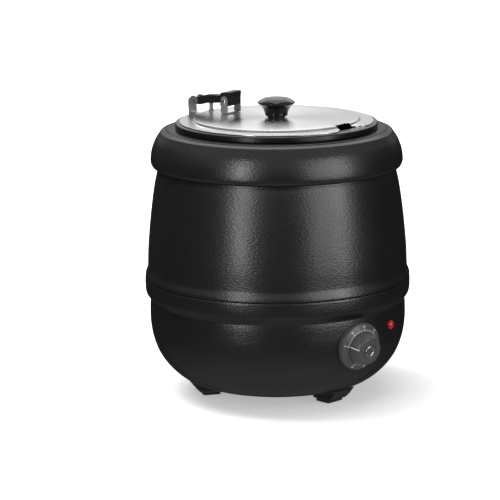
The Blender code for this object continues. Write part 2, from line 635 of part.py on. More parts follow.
def make_controls():
    make_bezel()
    k = KNOB_R
    turned("dial_knob", [
        (3.4, 8.4), (k - 1.0, 8.4), (k, 9.2), (k - 0.6, 12.0), (k - 2.6, 19.0), (k - 4.2, 21.4),
        (k - 6.4, 22.4), (8.0, 22.4), (8.0, 21.4), (0.0, 21.4), (0.0, 18.0), (3.4, 18.0),
    ], "dial_grey", 28, DIAL_FRAME)
    turned("dial_cap", [
        (0.0, 21.7), (7.6, 21.7), (7.6, 23.4), (6.6, 23.9), (5.2, 23.9), (4.6, 23.1), (0.0, 23.1),
    ], "bright_steel", 20, DIAL_FRAME)
    turned("thermostat_shaft", [(0.0, -5.6), (3.0, -5.6), (3.0, 17.0), (2.4, 17.6), (0.0, 17.6)],
           "bright_steel", 16, DIAL_FRAME)
    body = [(-17.5, -20.0), (17.5, -20.0), (17.5, 20.0), (-17.5, 20.0)]
    thermostat = prism("thermostat", body, 24.0, "matt_black", DIAL_FRAME @ Matrix.Translation((0, 0, -30.0)))
    cut(thermostat, [
        turned("tool_thermo_screw_%d" % n, [(0.0, -20.0), (1.9, -20.0), (1.9, 0.0), (0.0, 0.0)],
               "matt_black", 12, DIAL_FRAME @ Matrix.Translation((x, 0.0, 0.0)))
        for n, x in enumerate((-THERMO_SCREW_X, THERMO_SCREW_X))
    ])
    for word, x in (("left", -THERMO_SCREW_X), ("right", THERMO_SCREW_X)):
        turned("thermostat_screw_" + word, bolt_loop(3.0, 1.9, 1.5, -13.5), "zinc_steel", 12,
               DIAL_FRAME @ Matrix.Translation((x, 0.0, 0.35)))
    bulb_at = azimuth(BULB_AZ) * (WELL_R + WELL_SHEET + GAP + BULB_R)
    z0, z1 = 78.0, 150.0
    turned("thermostat_bulb", [(0.0, z0), (BULB_R - 1.0, z0), (BULB_R, z0 + 1.5), (BULB_R, z1 - 1.5),
                               (BULB_R - 1.0, z1), (0.0, z1)], "copper", 12, Matrix.Translation(bulb_at))
    start = bulb_at + Vector((0.0, 0.0, z0 - GAP))
    end = DIAL_FRAME @ Vector((-18.2, -8.0, -22.0))
    out = DIAL_FRAME @ Vector((-34.0, -8.0, -22.0))
    row = bezier_row(start, start - Vector((0.0, 0.0, 16.0)), out, end, WIRE_POINTS)
    tube("capillary_tube", row, 0.9, "copper", sides=1)
    turned("thermal_cutout", [(0.0, 0.35), (8.5, 0.35), (8.5, 6.0), (5.0, 9.5), (0.0, 9.5)], "matt_black",
           16, tilted_frame(150.0, WELL_R + WELL_SHEET, 112.0, 0.0))


def make_lamp():
    r = LAMP_R
    turned("lamp_lens", [
        (0.0, -6.0), (4.0, -6.0), (4.0, 0.35), (r, 0.35), (r, 1.6), (r - 0.6, 3.0), (r - 2.2, 4.4),
        (1.6, 5.1), (0.0, 5.2),
    ], "red_lens", 16, LAMP_FRAME)
    turned("lamp_body", [(0.0, -24.0), (4.6, -24.0), (5.2, -22.0), (5.2, -6.3), (0.0, -6.3)],
           "matt_black", 20, LAMP_FRAME)
    hex_ring("lamp_nut", 13.0, 4.35, 2.6, "zinc_steel", LAMP_FRAME @ Matrix.Translation((0.0, 0.0, -5.0)))


def make_gland():
    turned("cable_gland", [
        (4.2, -11.0), (7.0, -11.0), (7.0, 0.9), (11.5, 0.9), (11.5, 6.4), (10.9, 7.0), (4.2, 7.0),
    ], "matt_black", 18, GLAND_FRAME)
    turned("gland_dome_nut", [
        (4.2, 7.3), (11.0, 7.3), (11.0, 15.0), (10.0, 19.0), (7.6, 22.6), (5.4, 24.0), (4.2, 24.0),
    ], "matt_black", 18, GLAND_FRAME)
    hex_ring("gland_lock_nut", 20.0, 7.35, 4.0, "matt_black",
             GLAND_FRAME @ Matrix.Translation((0.0, 0.0, -8.6)))


# ---- heating and wiring ----
def element_row():
    """Centre line of the element: nearly a full ring with both ends bent down at the back."""
    count = 26
    sweep = 325.0
    start = 360.0 - sweep / 2.0
    row = [azimuth(start + sweep * k / (count - 1)) * ELEMENT_R + Vector((0.0, 0.0, ELEMENT_Z))
           for k in range(count)]
    first = row[0] + (row[0] - row[1]).normalized() * 3.0 - Vector((0.0, 0.0, 3.0))
    last = row[-1] + (row[-1] - row[-2]).normalized() * 3.0 - Vector((0.0, 0.0, 3.0))
    drop = Vector((0.0, 0.0, ELEMENT_TAIL))
    return [first - drop, first] + row + [last, last - drop]


def make_heating():
    tube("heating_element", element_row(), ELEMENT_TUBE, "element_steel")
    z = ELEMENT_Z - ELEMENT_TUBE - GAP
    turned("clamp_plate", [(3.4, z), (66.0, z), (66.0, z - 1.5), (3.4, z - 1.5)], "zinc_steel", 28)
    top = WELL_FLOOR_Z - WELL_SHEET - GAP
    turned("clamp_stud", [
        (0.0, top), (5.5, top), (5.5, top - 1.5), (3.0, top - 1.5), (3.0, z - 10.0), (2.4, z - 10.6),
        (0.0, z - 10.6),
    ], "zinc_steel", 16)
    hex_ring("clamp_nut", 11.0, 3.35, 5.0, "zinc_steel", Matrix.Translation((0.0, 0.0, z - 1.5 - GAP - 5.0)))


def make_wiring():
    block = [(-16.0, 76.0), (16.0, 76.0), (16.0, 92.0), (-16.0, 92.0)]
    prism("terminal_block", block, BLOCK_H, "white_plastic", Matrix.Translation((0.0, 0.0, BLOCK_Z)))
    z = BLOCK_Z + BLOCK_H + 1.2
    ends = element_row()
    low, drop = Vector((0.0, 0.0, 0.6)), Vector((0.0, 0.0, 9.0))
    routes = {
        "wire_supply": ((-5.0, 86.0, z), (-5.0, 86.0, z + 10.0), (0.0, 126.0, 44.0),
                        GLAND_FRAME @ Vector((0.0, 0.0, -11.6))),
        "wire_element_in": (ends[0] - low, ends[0] - drop, (-13.0, 80.0, z + 8.0), (-13.0, 80.0, z)),
        "wire_element_out": (ends[-1] - low, ends[-1] - drop, (13.0, 80.0, z + 8.0), (13.0, 80.0, z)),
        "wire_thermostat": ((4.0, 86.0, z), (4.0, 86.0, z + 12.0), (150.0, -110.0, 30.0),
                            DIAL_FRAME @ Vector((6.0, -22.4, -18.0))),
        "wire_lamp": (DIAL_FRAME @ Vector((18.4, 4.0, -20.0)), DIAL_FRAME @ Vector((32.0, 4.0, -20.0)),
                      LAMP_FRAME @ Vector((0.0, 0.0, -38.0)), LAMP_FRAME @ Vector((0.0, 0.0, -24.9))),
    }
    for name, (a, b, c, d) in routes.items():
        tube(name, bezier_row(a, b, c, d, WIRE_POINTS), WIRE_R, "wire_sleeve", sides=1)


clear_scene()
make_body()
make_feet()
make_vessels()
make_lid()
make_hinge()
make_controls()
make_lamp()
make_gland()
make_heating()
make_wiring()
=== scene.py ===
"""Soup kettle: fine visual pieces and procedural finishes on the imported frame."""
import json
import math

import bmesh
import bpy
from mathutils import Matrix, Vector


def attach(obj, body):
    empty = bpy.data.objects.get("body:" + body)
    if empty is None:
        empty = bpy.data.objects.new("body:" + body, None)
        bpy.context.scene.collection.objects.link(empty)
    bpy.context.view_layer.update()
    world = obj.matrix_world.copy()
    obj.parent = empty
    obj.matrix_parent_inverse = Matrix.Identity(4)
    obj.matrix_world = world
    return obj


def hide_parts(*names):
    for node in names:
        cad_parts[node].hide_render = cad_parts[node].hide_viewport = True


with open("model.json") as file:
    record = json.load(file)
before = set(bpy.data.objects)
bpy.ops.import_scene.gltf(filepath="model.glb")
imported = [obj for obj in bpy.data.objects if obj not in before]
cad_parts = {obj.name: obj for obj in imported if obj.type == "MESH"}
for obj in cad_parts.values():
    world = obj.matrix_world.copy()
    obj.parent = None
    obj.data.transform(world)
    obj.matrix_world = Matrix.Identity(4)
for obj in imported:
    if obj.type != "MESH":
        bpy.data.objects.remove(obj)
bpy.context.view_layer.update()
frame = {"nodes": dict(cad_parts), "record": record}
NODES = frame["nodes"]
MM = 0.001

# ---------------------------------------------------------------- layout (mm, degrees)
NOTCH_AZ = 15.3
HINGE_AZ = NOTCH_AZ + 183.5
FOOT_AZ = 7.5
PIVOT_U, PIVOT_Z = 121.5, 367.0
RIVET_U, RIVET_Z = 70.0, 370.5
BRACKET_TOP = 377.5
DIAL_R, DIAL_Z, DIAL_TILT = 163.1, 88.0, 7.0
LAMP_AZ, LAMP_R, LAMP_Z = 21.2, 164.05, 103.5
GLAND_R, GLAND_Z = 164.05, 103.5
LID_TOP, LID_R, LID_STEP = 354.4, 123.5, 104.6
NOTCH_R = 99.5                  # where the ladle notch starts, from the axis
RING_TOP, RING_R = 349.8, 128.6
FOOT_SCREW_R, SOLE_Z = 92.0, 2.9
GAP = 0.3                       # clearance between separate parts
FEET = ("front", "right", "left")
BODY_SEG, LID_SEG, DIAL_SEG = 240, 320, 144  # facets round the large turned skins
SHARP = math.radians(32.0)      # edges that turn more than this stay crisp
UP = Vector((0.0, 0.0, 1.0))


def azimuth(deg):
    a = math.radians(deg)
    return Vector((math.sin(a), -math.cos(a), 0.0))


def side(deg):
    a = math.radians(deg)
    return Vector((math.cos(a), math.sin(a), 0.0))


def columns(x, y, z, origin=(0.0, 0.0, 0.0)):
    m = Matrix((x, y, z)).transposed().to_4x4()
    m.translation = Vector(origin)
    return m


def tilted(az, radius, z, tilt=0.0):
    a = math.radians(tilt)
    n = azimuth(az) * math.cos(a) - UP * math.sin(a)
    x = UP.cross(n).normalized()
    return columns(x, n.cross(x), n, azimuth(az) * radius + UP * z)


DIAL = tilted(0.0, DIAL_R, DIAL_Z, DIAL_TILT)
LAMP = tilted(LAMP_AZ, LAMP_R, LAMP_Z)
GLAND = tilted(180.0, GLAND_R, GLAND_Z)
HINGE = columns(side(HINGE_AZ), azimuth(HINGE_AZ), UP)      # x along the hinge line, y outward, z up
HINGE_SIDE = columns(azimuth(HINGE_AZ), UP, side(HINGE_AZ))  # x outward, y up, z along the hinge line

# ---------------------------------------------------------------- node helpers


class Shader:
    """A material whose nodes are added one line at a time."""

    def __init__(self, name):
        self.mat = bpy.data.materials.new(name)
        self.mat.use_nodes = True
        self.tree = self.mat.node_tree
        self.bsdf = self.tree.nodes["Principled BSDF"]
        self.coord = self.tree.nodes.new("ShaderNodeTexCoord").outputs["Object"]

    def node(self, kind, inputs=None, **props):
        n = self.tree.nodes.new(kind)
        for key, value in props.items():
            setattr(n, key, value)
        for key, value in (inputs or {}).items():
            self.put(n.inputs[key], value)
        return n

    def put(self, socket, value):
        if isinstance(value, bpy.types.NodeSocket):
            self.tree.links.new(value, socket)
        else:
            socket.default_value = value

    def set(self, **values):
        for key, value in values.items():
            self.put(self.bsdf.inputs[key.replace("_", " ")], value)

    def noise(self, scale, detail=3.0, rough=0.5, vector=None):
        n = self.node("ShaderNodeTexNoise", {"Vector": vector or self.coord, "Scale": scale,
                                             "Detail": detail, "Roughness": rough})
        return n.outputs["Fac"]

    def voronoi(self, scale, smoothness, vector):
        n = self.node("ShaderNodeTexVoronoi", {"Vector": vector, "Scale": scale,
                                               "Smoothness": smoothness}, feature="SMOOTH_F1")
        return n.outputs["Distance"]

    def span(self, value, low, high, start=0.0, end=1.0):
        """The value's range from start to end, mapped to low to high."""
        n = self.node("ShaderNodeMapRange", {"Value": value, "From Min": start, "From Max": end,
                                             "To Min": low, "To Max": high})
        return n.outputs["Result"]

    def uneven(self, value, low, high):
        """A noise's middle range, mapped to low to high."""
        return self.span(value, low, high, 0.3, 0.7)

    def weighted(self, *terms):
        """Sum of values, each times its weight."""
        parts = [self.math("MULTIPLY", value, weight) for value, weight in terms]
        total = parts[0]
        for part in parts[1:]:
            total = self.math("ADD", total, part)
        return total

    def math(self, operation, a, b=0.0):
        n = self.node("ShaderNodeMath", operation=operation)
        self.put(n.inputs[0], a)
        self.put(n.inputs[1], b)
        return n.outputs[0]

    def mix(self, fac, a, b):
        n = self.node("ShaderNodeMix", data_type="RGBA")
        self.put(n.inputs[0], fac)
        self.put(n.inputs[6], a if isinstance(a, bpy.types.NodeSocket) else (*a, 1.0))
        self.put(n.inputs[7], b if isinstance(b, bpy.types.NodeSocket) else (*b, 1.0))
        return n.outputs[2]

    def scaled(self, factors, vector=None):
        n = self.node("ShaderNodeVectorMath", operation="MULTIPLY")
        self.put(n.inputs[0], vector or self.coord)
        n.inputs[1].default_value = factors
        return n.outputs[0]

    def polar(self):
        """Radius, shrunk angle and height of a point about z: noise on it makes marks round the axis."""
        split = self.node("ShaderNodeSeparateXYZ", {"Vector": self.coord})
        x, y = split.outputs[0], split.outputs[1]
        r = self.math("SQRT", self.weighted((x, x), (y, y)))
        angle = self.math("ARCTAN2", y, x)
        join = self.node("ShaderNodeCombineXYZ", {"X": r, "Y": self.math("MULTIPLY", angle, 0.004),
                                                  "Z": split.outputs[2]})
        return join.outputs[0]

    def facing(self):
        """0 where the surface faces the view, 1 at a grazing look."""
        return self.node("ShaderNodeLayerWeight", {"Blend": 0.5}).outputs["Facing"]

    def bump(self, height, distance, strength):
        n = self.node("ShaderNodeBump", {"Height": height, "Distance": distance, "Strength": strength})
        return n.outputs["Normal"]


FLATTEN = 2.1                             # pebbles are wider than they are tall
CELLS, SWELLS, DUST, CLOUDS = 310.0, 210.0, 800.0, 14.0  # scales of the powder coat's marks
PEBBLE_DEPTH = 0.00026
# pebble colours: painted shade in the pits and painted highlight on the ridges
COAT_PIT_SHADE, COAT_RIDGE_HIGHLIGHT = (0.0062, 0.0062, 0.0064), (0.0088, 0.0088, 0.0092)


def powder():
    """Black wrinkle powder coat: fine pebbled skin, slightly uneven sheen, matt at a grazing look."""
    s = Shader("powder_black")
    flat = s.scaled((1.0, 1.0, FLATTEN))
    cells = s.voronoi(CELLS, 0.7, flat)
    swell = s.noise(SWELLS, 2.0, 0.5, flat)
    fine = s.noise(DUST, 3.0, 0.6, flat)
    cloud = s.noise(CLOUDS, 2.0, 0.5)
    # the pits take the darker coat and the ridges the lighter one: painted shade and painted highlight in the
    # pebbles
    s.set(Base_Color=s.mix(s.span(cells, 0.0, 1.0, 0.1, 0.6), COAT_PIT_SHADE, COAT_RIDGE_HIGHLIGHT),
          Roughness=s.uneven(s.weighted((cloud, 0.6), (fine, 0.4)), 0.27, 0.36),
          Specular_IOR_Level=s.span(s.facing(), 1.0, 0.06, 0.25, 0.75),
          Normal=s.bump(s.weighted((cells, 1.0), (swell, 0.5), (fine, 0.25)), PEBBLE_DEPTH, 0.6))
    return s.mat


def gloss(name, colour, low, high):
    """Polished moulding with faint handling haze."""
    s = Shader(name)
    haze = s.noise(60.0, 4.0, 0.6)
    s.set(Base_Color=s.mix(haze, [c * 0.85 for c in colour], colour), Roughness=s.uneven(haze, low, high),
          Specular_IOR_Level=0.5, Normal=s.bump(s.noise(220.0, 2.0), 0.00002, 0.4))
    return s.mat


def satin(name, colour, low, high, grain=1400.0, depth=0.00004):
    """Fine spark-eroded texture of a satin moulding."""
    s = Shader(name)
    speck = s.noise(grain, 3.0, 0.6)
    cloud = s.noise(40.0, 3.0, 0.5)
    s.set(Base_Color=s.mix(cloud, [c * 0.85 for c in colour], [min(1.0, c * 1.12) for c in colour]),
          Roughness=s.uneven(speck, low, high), Normal=s.bump(speck, depth, 0.6))
    return s.mat


def turned_steel(name, colour, low, high, aniso, marks=2600.0):
    """Metal brushed round the kettle's axis."""
    s = Shader(name)
    p = s.polar()
    lines = s.noise(marks, 2.0, 0.55, p)
    wide = s.noise(170.0, 2.0, 0.5, p)
    smudge = s.noise(9.0, 2.0, 0.4)
    s.set(Base_Color=s.mix(wide, [c * 0.95 for c in colour], colour), Metallic=1.0,
          Roughness=s.uneven(s.weighted((lines, 0.8), (smudge, 0.2)), low, high),
          Anisotropic=aniso, Anisotropic_Rotation=0.25, Normal=s.bump(lines, 0.000005, 0.35),
          Tangent=s.node("ShaderNodeTangent", direction_type="RADIAL", axis="Z").outputs[0])
    return s.mat


def plain_metal(name, colour, low, high, stretch=(1.0, 1.0, 1.0), scale=900.0):
    """Drawn or plated metal with fine marks along one direction."""
    s = Shader(name)
    lines = s.noise(scale, 3.0, 0.6, s.scaled(stretch))
    cloud = s.noise(60.0, 3.0, 0.5)
    s.set(Base_Color=s.mix(cloud, [c * 0.9 for c in colour], colour), Metallic=1.0,
          Roughness=s.uneven(s.weighted((lines, 0.6), (cloud, 0.4)), low, high),
          Normal=s.bump(lines, 0.00001, 0.5))
    return s.mat


def lens():
    """Red pilot lens, faintly lit from inside."""
    s = Shader("red_lens")
    rings = s.noise(120.0, 2.0, 0.5)
    s.set(Base_Color=s.mix(rings, (0.42, 0.004, 0.006), (0.60, 0.012, 0.012)),
          Roughness=s.span(rings, 0.05, 0.12), Coat_Weight=0.5, Coat_Roughness=0.03,
          Emission_Color=(0.9, 0.02, 0.015, 1.0), Emission_Strength=0.10)
    return s.mat


def rubber():
    """Dull moulded rubber."""
    s = Shader("rubber_black")
    speck = s.noise(700.0, 3.0, 0.6)
    s.set(Base_Color=s.mix(speck, (0.012, 0.012, 0.012), (0.028, 0.028, 0.027)),
          Roughness=s.span(speck, 0.68, 0.88), Normal=s.bump(speck, 0.00006, 0.7))
    return s.mat


MATS = {
    "powder_black": powder(),
    "gloss_black": gloss("gloss_black", (0.005, 0.005, 0.0055), 0.05, 0.11),
    "ring_black": gloss("ring_black", (0.006, 0.006, 0.0065), 0.26, 0.36),
    "stainless": turned_steel("stainless_turned", (0.84, 0.84, 0.835), 0.19, 0.26, 0.8),
    "bracket": plain_metal("stainless_strip", (0.95, 0.95, 0.945), 0.34, 0.48, (1.0, 1.0, 0.08)),
    "aluminium": turned_steel("aluminium_drawn", (0.66, 0.67, 0.69), 0.30, 0.45, 0.3, 1500.0),
    "bright_steel": plain_metal("bright_steel", (0.82, 0.82, 0.83), 0.05, 0.14),
    "zinc_steel": plain_metal("zinc_steel", (0.52, 0.53, 0.55), 0.28, 0.46, scale=500.0),
    "dial_grey": satin("dial_grey", (0.085, 0.087, 0.090), 0.24, 0.34),
    "dial_white": satin("dial_white", (0.82, 0.82, 0.80), 0.35, 0.5),
    "red_lens": lens(),
    "rubber_black": rubber(),
    "matt_black": satin("matt_black", (0.014, 0.014, 0.015), 0.24, 0.42, 1100.0, 0.00005),
    "element_steel": plain_metal("element_steel", (0.20, 0.17, 0.15), 0.40, 0.60, scale=300.0),
    "white_plastic": satin("white_plastic", (0.74, 0.73, 0.69), 0.40, 0.55),
    "wire_sleeve": satin("wire_sleeve", (0.36, 0.08, 0.05), 0.45, 0.6, 600.0, 0.00008),
    "copper": plain_metal("copper", (0.74, 0.40, 0.25), 0.22, 0.40),
}

# ---------------------------------------------------------------- mesh helpers


def piece(name, bm, mat, body, nodes=(), place=None):
    """A finished piece from a bmesh in mm: placed, shaded, on its body and standing for its CAD nodes."""
    if place is not None:
        bm.transform(place)
    bmesh.ops.recalc_face_normals(bm, faces=bm.faces)
    for face in bm.faces:
        face.smooth = True
    obj = linked(name, bm)
    obj.data.transform(Matrix.Scale(MM, 4))
    obj.data.set_sharp_from_angle(angle=SHARP)
    obj.data.materials.append(MATS[mat])
    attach(obj, body)
    if nodes:
        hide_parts(*nodes)
    return obj


def linked(name, bm):
    """An object in the scene that holds the bmesh, which is freed."""
    mesh = bpy.data.meshes.new(name)
    bm.to_mesh(mesh)
    bm.free()
    obj = bpy.data.objects.new(name, mesh)
    bpy.context.scene.collection.objects.link(obj)
    return obj


def lathe(loop, seg=192, warp=None):
    """Closed turned mesh from a closed loop of (radius, height). warp(angle, r, z) may move a point."""
    bm = bmesh.new()
    rings = []
    for r, z in loop:
        if r <= 0.0:
            rings.append([bm.verts.new((0.0, 0.0, z))])
            continue
        row = []
        for k in range(seg):
            a = 2.0 * math.pi * k / seg
            rr, zz = warp(a, r, z) if warp else (r, z)
            row.append(bm.verts.new((rr * math.sin(a), -rr * math.cos(a), zz)))
        rings.append(row)
    for a, b in zip(rings, rings[1:] + rings[:1]):
        if len(a) == 1 and len(b) == 1:
            continue
        for k in range(seg):
            n = (k + 1) % seg
            if len(a) == 1:
                bm.faces.new((a[0], b[n], b[k]))
            elif len(b) == 1:
                bm.faces.new((a[k], a[n], b[0]))
            else:
                bm.faces.new((a[k], a[n], b[n], b[k]))
    return bm


def prism(outline, length):
    """Straight extrusion of an (x, y) outline along z."""
    bm = bmesh.new()
    low = [bm.verts.new((x, y, 0.0)) for x, y in outline]
    high = [bm.verts.new((x, y, length)) for x, y in outline]
    bm.faces.new(low)
    bm.faces.new(high)
    for k in range(len(outline)):
        n = (k + 1) % len(outline)
        bm.faces.new((low[k], low[n], high[n], high[k]))
    return bm


def spline(points, per=4):
    """Points on a smooth curve through the given ones."""
    out = []
    for k in range(len(points) - 1):
        p0, p1 = points[max(k - 1, 0)], points[k]
        p2, p3 = points[k + 1], points[min(k + 2, len(points) - 1)]
        for i in range(per):
            t = i / per
            out.append(tuple(
                0.5 * (2 * b + (c - a) * t + (2 * a - 5 * b + 4 * c - d) * t * t
                       + (3 * b - a - 3 * c + d) * t**3)
                for a, b, c, d in zip(p0, p1, p2, p3)))
    out.append(points[-1])
    return out


def inner(profile, distance):
    """The profile moved to the left of its direction of travel, for a row that runs downward outside."""
    out = []
    for k, (r, z) in enumerate(profile):
        r0, z0 = profile[max(k - 1, 0)]
        r1, z1 = profile[min(k + 1, len(profile) - 1)]
        length = math.hypot(r1 - r0, z1 - z0) or 1.0
        out.append((r + (z1 - z0) / length * distance, z - (r1 - r0) / length * distance))
    return out


def arc(cx, cy, r, a0, a1, count):
    """Points of an arc, angles in degrees from +x toward +y."""
    return [(cx + r * math.cos(math.radians(a0 + (a1 - a0) * k / (count - 1))),
             cy + r * math.sin(math.radians(a0 + (a1 - a0) * k / (count - 1)))) for k in range(count)]


def bevel(obj, width, segments=2, angle=40.0):
    """Rounded edges of a width in mm, on edges that turn more than the angle."""
    mod = obj.modifiers.new("edge", "BEVEL")
    mod.width = width * MM
    mod.segments = segments
    mod.limit_method = "ANGLE"
    mod.angle_limit = math.radians(angle)
    mod.harden_normals = True
    return obj


def cut(obj, cutters, operation="DIFFERENCE"):
    """Exact boolean with throwaway solids in mm, applied to the mesh."""
    for bm, place in cutters:
        if place is not None:
            bm.transform(place)
        bmesh.ops.recalc_face_normals(bm, faces=bm.faces)
        tool = linked("cutter", bm)
        mesh = tool.data
        mesh.transform(Matrix.Scale(MM, 4))
        mod = obj.modifiers.new("cut", "BOOLEAN")
        mod.operation = operation
        mod.solver = "EXACT"
        mod.object = tool
        dg = bpy.context.evaluated_depsgraph_get()
        done = bpy.data.meshes.new_from_object(obj.evaluated_get(dg))
        old = obj.data
        obj.modifiers.clear()
        obj.data = done
        done.name = old.name
        bpy.data.meshes.remove(old)
        bpy.data.objects.remove(tool)
        bpy.data.meshes.remove(mesh)
    obj.data.set_sharp_from_angle(angle=SHARP)
    return obj


def rod(r, z0, z1, seg=40):
    """Plain cylinder, only used to cut holes."""
    return lathe([(0.0, z0), (r, z0), (r, z1), (0.0, z1)], seg)


# ---------------------------------------------------------------- body
def make_body():
    crown = [(138.2, 341.9), (138.9, 341.8), (139.4, 341.4), (139.9, 340.7), (140.4, 340.3), (141.2, 340.1),
             (144.2, 339.3), (146.6, 338.6), (147.2, 338.2), (147.7, 337.6), (148.2, 336.8)]
    shoulder = spline([(149.2, 335.3), (151.2, 332.4), (154.3, 327.4), (156.8, 321.5), (158.8, 315.4),
                       (160.0, 309.4), (160.5, 304.0), (160.4, 300.2), (159.6, 297.2), (158.0, 295.0),
                       (155.8, 293.9)], 4)
    hem = [(154.0, 293.5), (153.2, 293.7), (152.6, 294.2), (152.6, 294.9), (153.2, 295.2), (154.6, 295.3)]
    back = [(156.6, 296.4), (158.1, 299.4), (158.9, 304.0), (158.4, 309.4), (155.3, 321.2), (149.8, 331.8),
            (146.2, 336.6), (143.2, 338.0), (138.4, 340.3), (121.5, 340.4)]
    piece("collar_ring_skin", lathe([(121.5, 341.9)] + crown + shoulder + hem + back, BODY_SEG),
          "powder_black", "kettle", ["collar_ring"])

    outer = spline([(150.9, 298.6), (151.5, 292.0), (151.75, 288.6), (152.9, 284.5), (153.9, 280.5),
                    (155.4, 273.5), (157.6, 260.5), (159.7, 245.5), (162.1, 225.5), (164.1, 205.5),
                    (165.6, 185.5),
                    (166.2, 167.5), (166.6, 163.4), (167.9, 159.6), (169.2, 156.2), (169.6, 153.6)], 4)
    outer += [(169.55, 152.6), (169.2, 152.1), (168.7, 151.9)]
    inside = [(167.9, 152.3), (167.9, 155.6), (165.2, 163.0), (164.4, 185.5), (160.9, 225.0), (156.3, 260.0),
              (152.6, 280.0), (150.3, 289.0), (149.7, 298.6)]
    piece("barrel_skin", lathe(outer + inside, BODY_SEG), "powder_black", "kettle",
          ["barrel_shell"])

    lip = [(166.4, 156.4), (167.3, 155.4), (167.4, 151.7), (168.7, 151.3), (169.4, 151.2), (169.75, 150.6)]
    belt = spline([(169.9, 149.4), (170.0, 145.0), (169.95, 140.5), (169.6, 135.4), (168.9, 132.2)], 3)
    crease = [(168.2, 130.7), (167.7, 130.3), (167.3, 129.6)]
    bowl = spline([(166.6, 128.4), (165.0, 126.2), (163.7, 124.2), (163.35, 122.6), (163.6, 120.4),
                   (164.0, 115.0), (164.15, 107.0), (164.0, 95.5), (162.2, 80.5), (158.8, 67.5),
                   (153.9, 55.5), (147.7, 45.5), (139.3, 35.5), (130.3, 27.5), (120.5, 20.9), (110.0, 17.0),
                   (104.0, 15.8)], 4)
    floor = [(102.5, 15.5), (84.0, 15.5), (84.0, 16.7)]
    within = inner(bowl, 1.2)[::4][::-1]
    loop = lip + belt + crease + bowl + floor + within + [(166.4, 131.0), (168.5, 140.0), (168.2, 149.6),
                                                         (166.0, 151.6), (165.2, 156.4)]
    skin = piece("base_bowl_skin", lathe(loop, BODY_SEG), "powder_black", "kettle",
                 ["base_bowl"])
    cut(skin, [(rod(4.5, -12.0, 12.0), DIAL), (rod(4.6, -12.0, 12.0), LAMP), (rod(7.6, -14.0, 12.0), GLAND)])

    plate = [(0.0, 15.2), (60.0, 15.2), (62.0, 16.6), (70.0, 16.6), (72.0, 15.2), (99.2, 15.2), (100.0, 14.8),
             (100.0, 14.2), (99.4, 13.9), (72.4, 13.9), (70.2, 15.4), (61.8, 15.4), (59.6, 13.9), (0.0, 13.9)]
    obj = piece("base_plate_skin", lathe(plate, 160), "zinc_steel", "kettle", ["base_plate"])
    cut(obj, [(rod(2.5, 8.0, 24.0, 24), Matrix.Translation(azimuth(foot_azimuth(k)) * FOOT_SCREW_R))
              for k in range(len(FEET))])


# ---------------------------------------------------------------- feet
def foot_azimuth(k):
    return FOOT_AZ + 120.0 * k


def make_feet():
    tip = 103.0  # radius where the sole ends and the foot rises toward the bowl
    radii = [76.0, 78.0, 84.0, 92.0, 99.0, 100.6, 103.0, 105.0, 107.0, 109.0, 111.5, 114.0, 116.5, 118.5]
    for k, word in enumerate(FEET):
        az = foot_azimuth(k)
        place = columns(side(az), azimuth(az), UP)
        bm = bmesh.new()
        rows = []
        for r in radii:
            low = SOLE_Z if r <= tip else SOLE_Z + 15.6 * ((r - tip) / 15.5) ** 1.55
            if r < 80.0:
                low += (80.0 - r) * 0.35
            top = 13.7 if r < 100.2 else roof(r) - 0.35
            low = min(low, top - 0.4)
            row = []
            for i in range(13):
                t = i / 12.0
                z = low + (top - low) * t
                flare = 14.4 + 1.2 * t**3 + max(0.0, r - 104.0) * 0.16
                corner = max(0.0, 1.0 - t * 4.0) * 0.9
                row.append((flare - corner, r, z))
            outline = [(-x, y, z) for x, y, z in row[::-1]] + row
            rows.append([bm.verts.new(p) for p in outline])
        for a, b in zip(rows, rows[1:]):
            for i in range(len(a)):
                n = (i + 1) % len(a)
                bm.faces.new((a[i], a[n], b[n], b[i]))
        bm.faces.new(rows[0])
        bm.faces.new(rows[-1])
        foot = piece("foot_%s_skin" % word, bm, "powder_black", "kettle",
                     ["foot_" + word], place)
        screw_hole = lathe([(0.0, 0.0), (5.0, 0.0), (5.0, 6.6), (2.6, 6.6), (2.6, 20.0), (0.0, 20.0)], 32)
        cut(foot, [(screw_hole, Matrix.Translation(azimuth(az) * FOOT_SCREW_R))])
        bevel(foot, 0.8, 3, 50.0)
        pad = prism(arc(10.6, 100.0, 3.0, 90.0, 0.0, 6) + arc(10.6, 83.0, 3.0, 0.0, -90.0, 6)
                    + arc(-10.6, 83.0, 3.0, -90.0, -180.0, 6) + arc(-10.6, 100.0, 3.0, 180.0, 90.0, 6), 2.6)
        obj = piece("foot_pad_%s_skin" % word, pad, "rubber_black", "kettle",
                    ["foot_pad_" + word], place)
        bevel(obj, 0.5)


def roof(r):
    """Height of the bowl's underside at a radius."""
    rows = [(102.5, 15.5), (110.0, 17.0), (120.5, 20.9), (130.3, 27.5)]
    for (r0, z0), (r1, z1) in zip(rows, rows[1:]):
        if r0 <= r <= r1:
            return z0 + (z1 - z0) * (r - r0) / (r1 - r0)
    return rows[0][1]


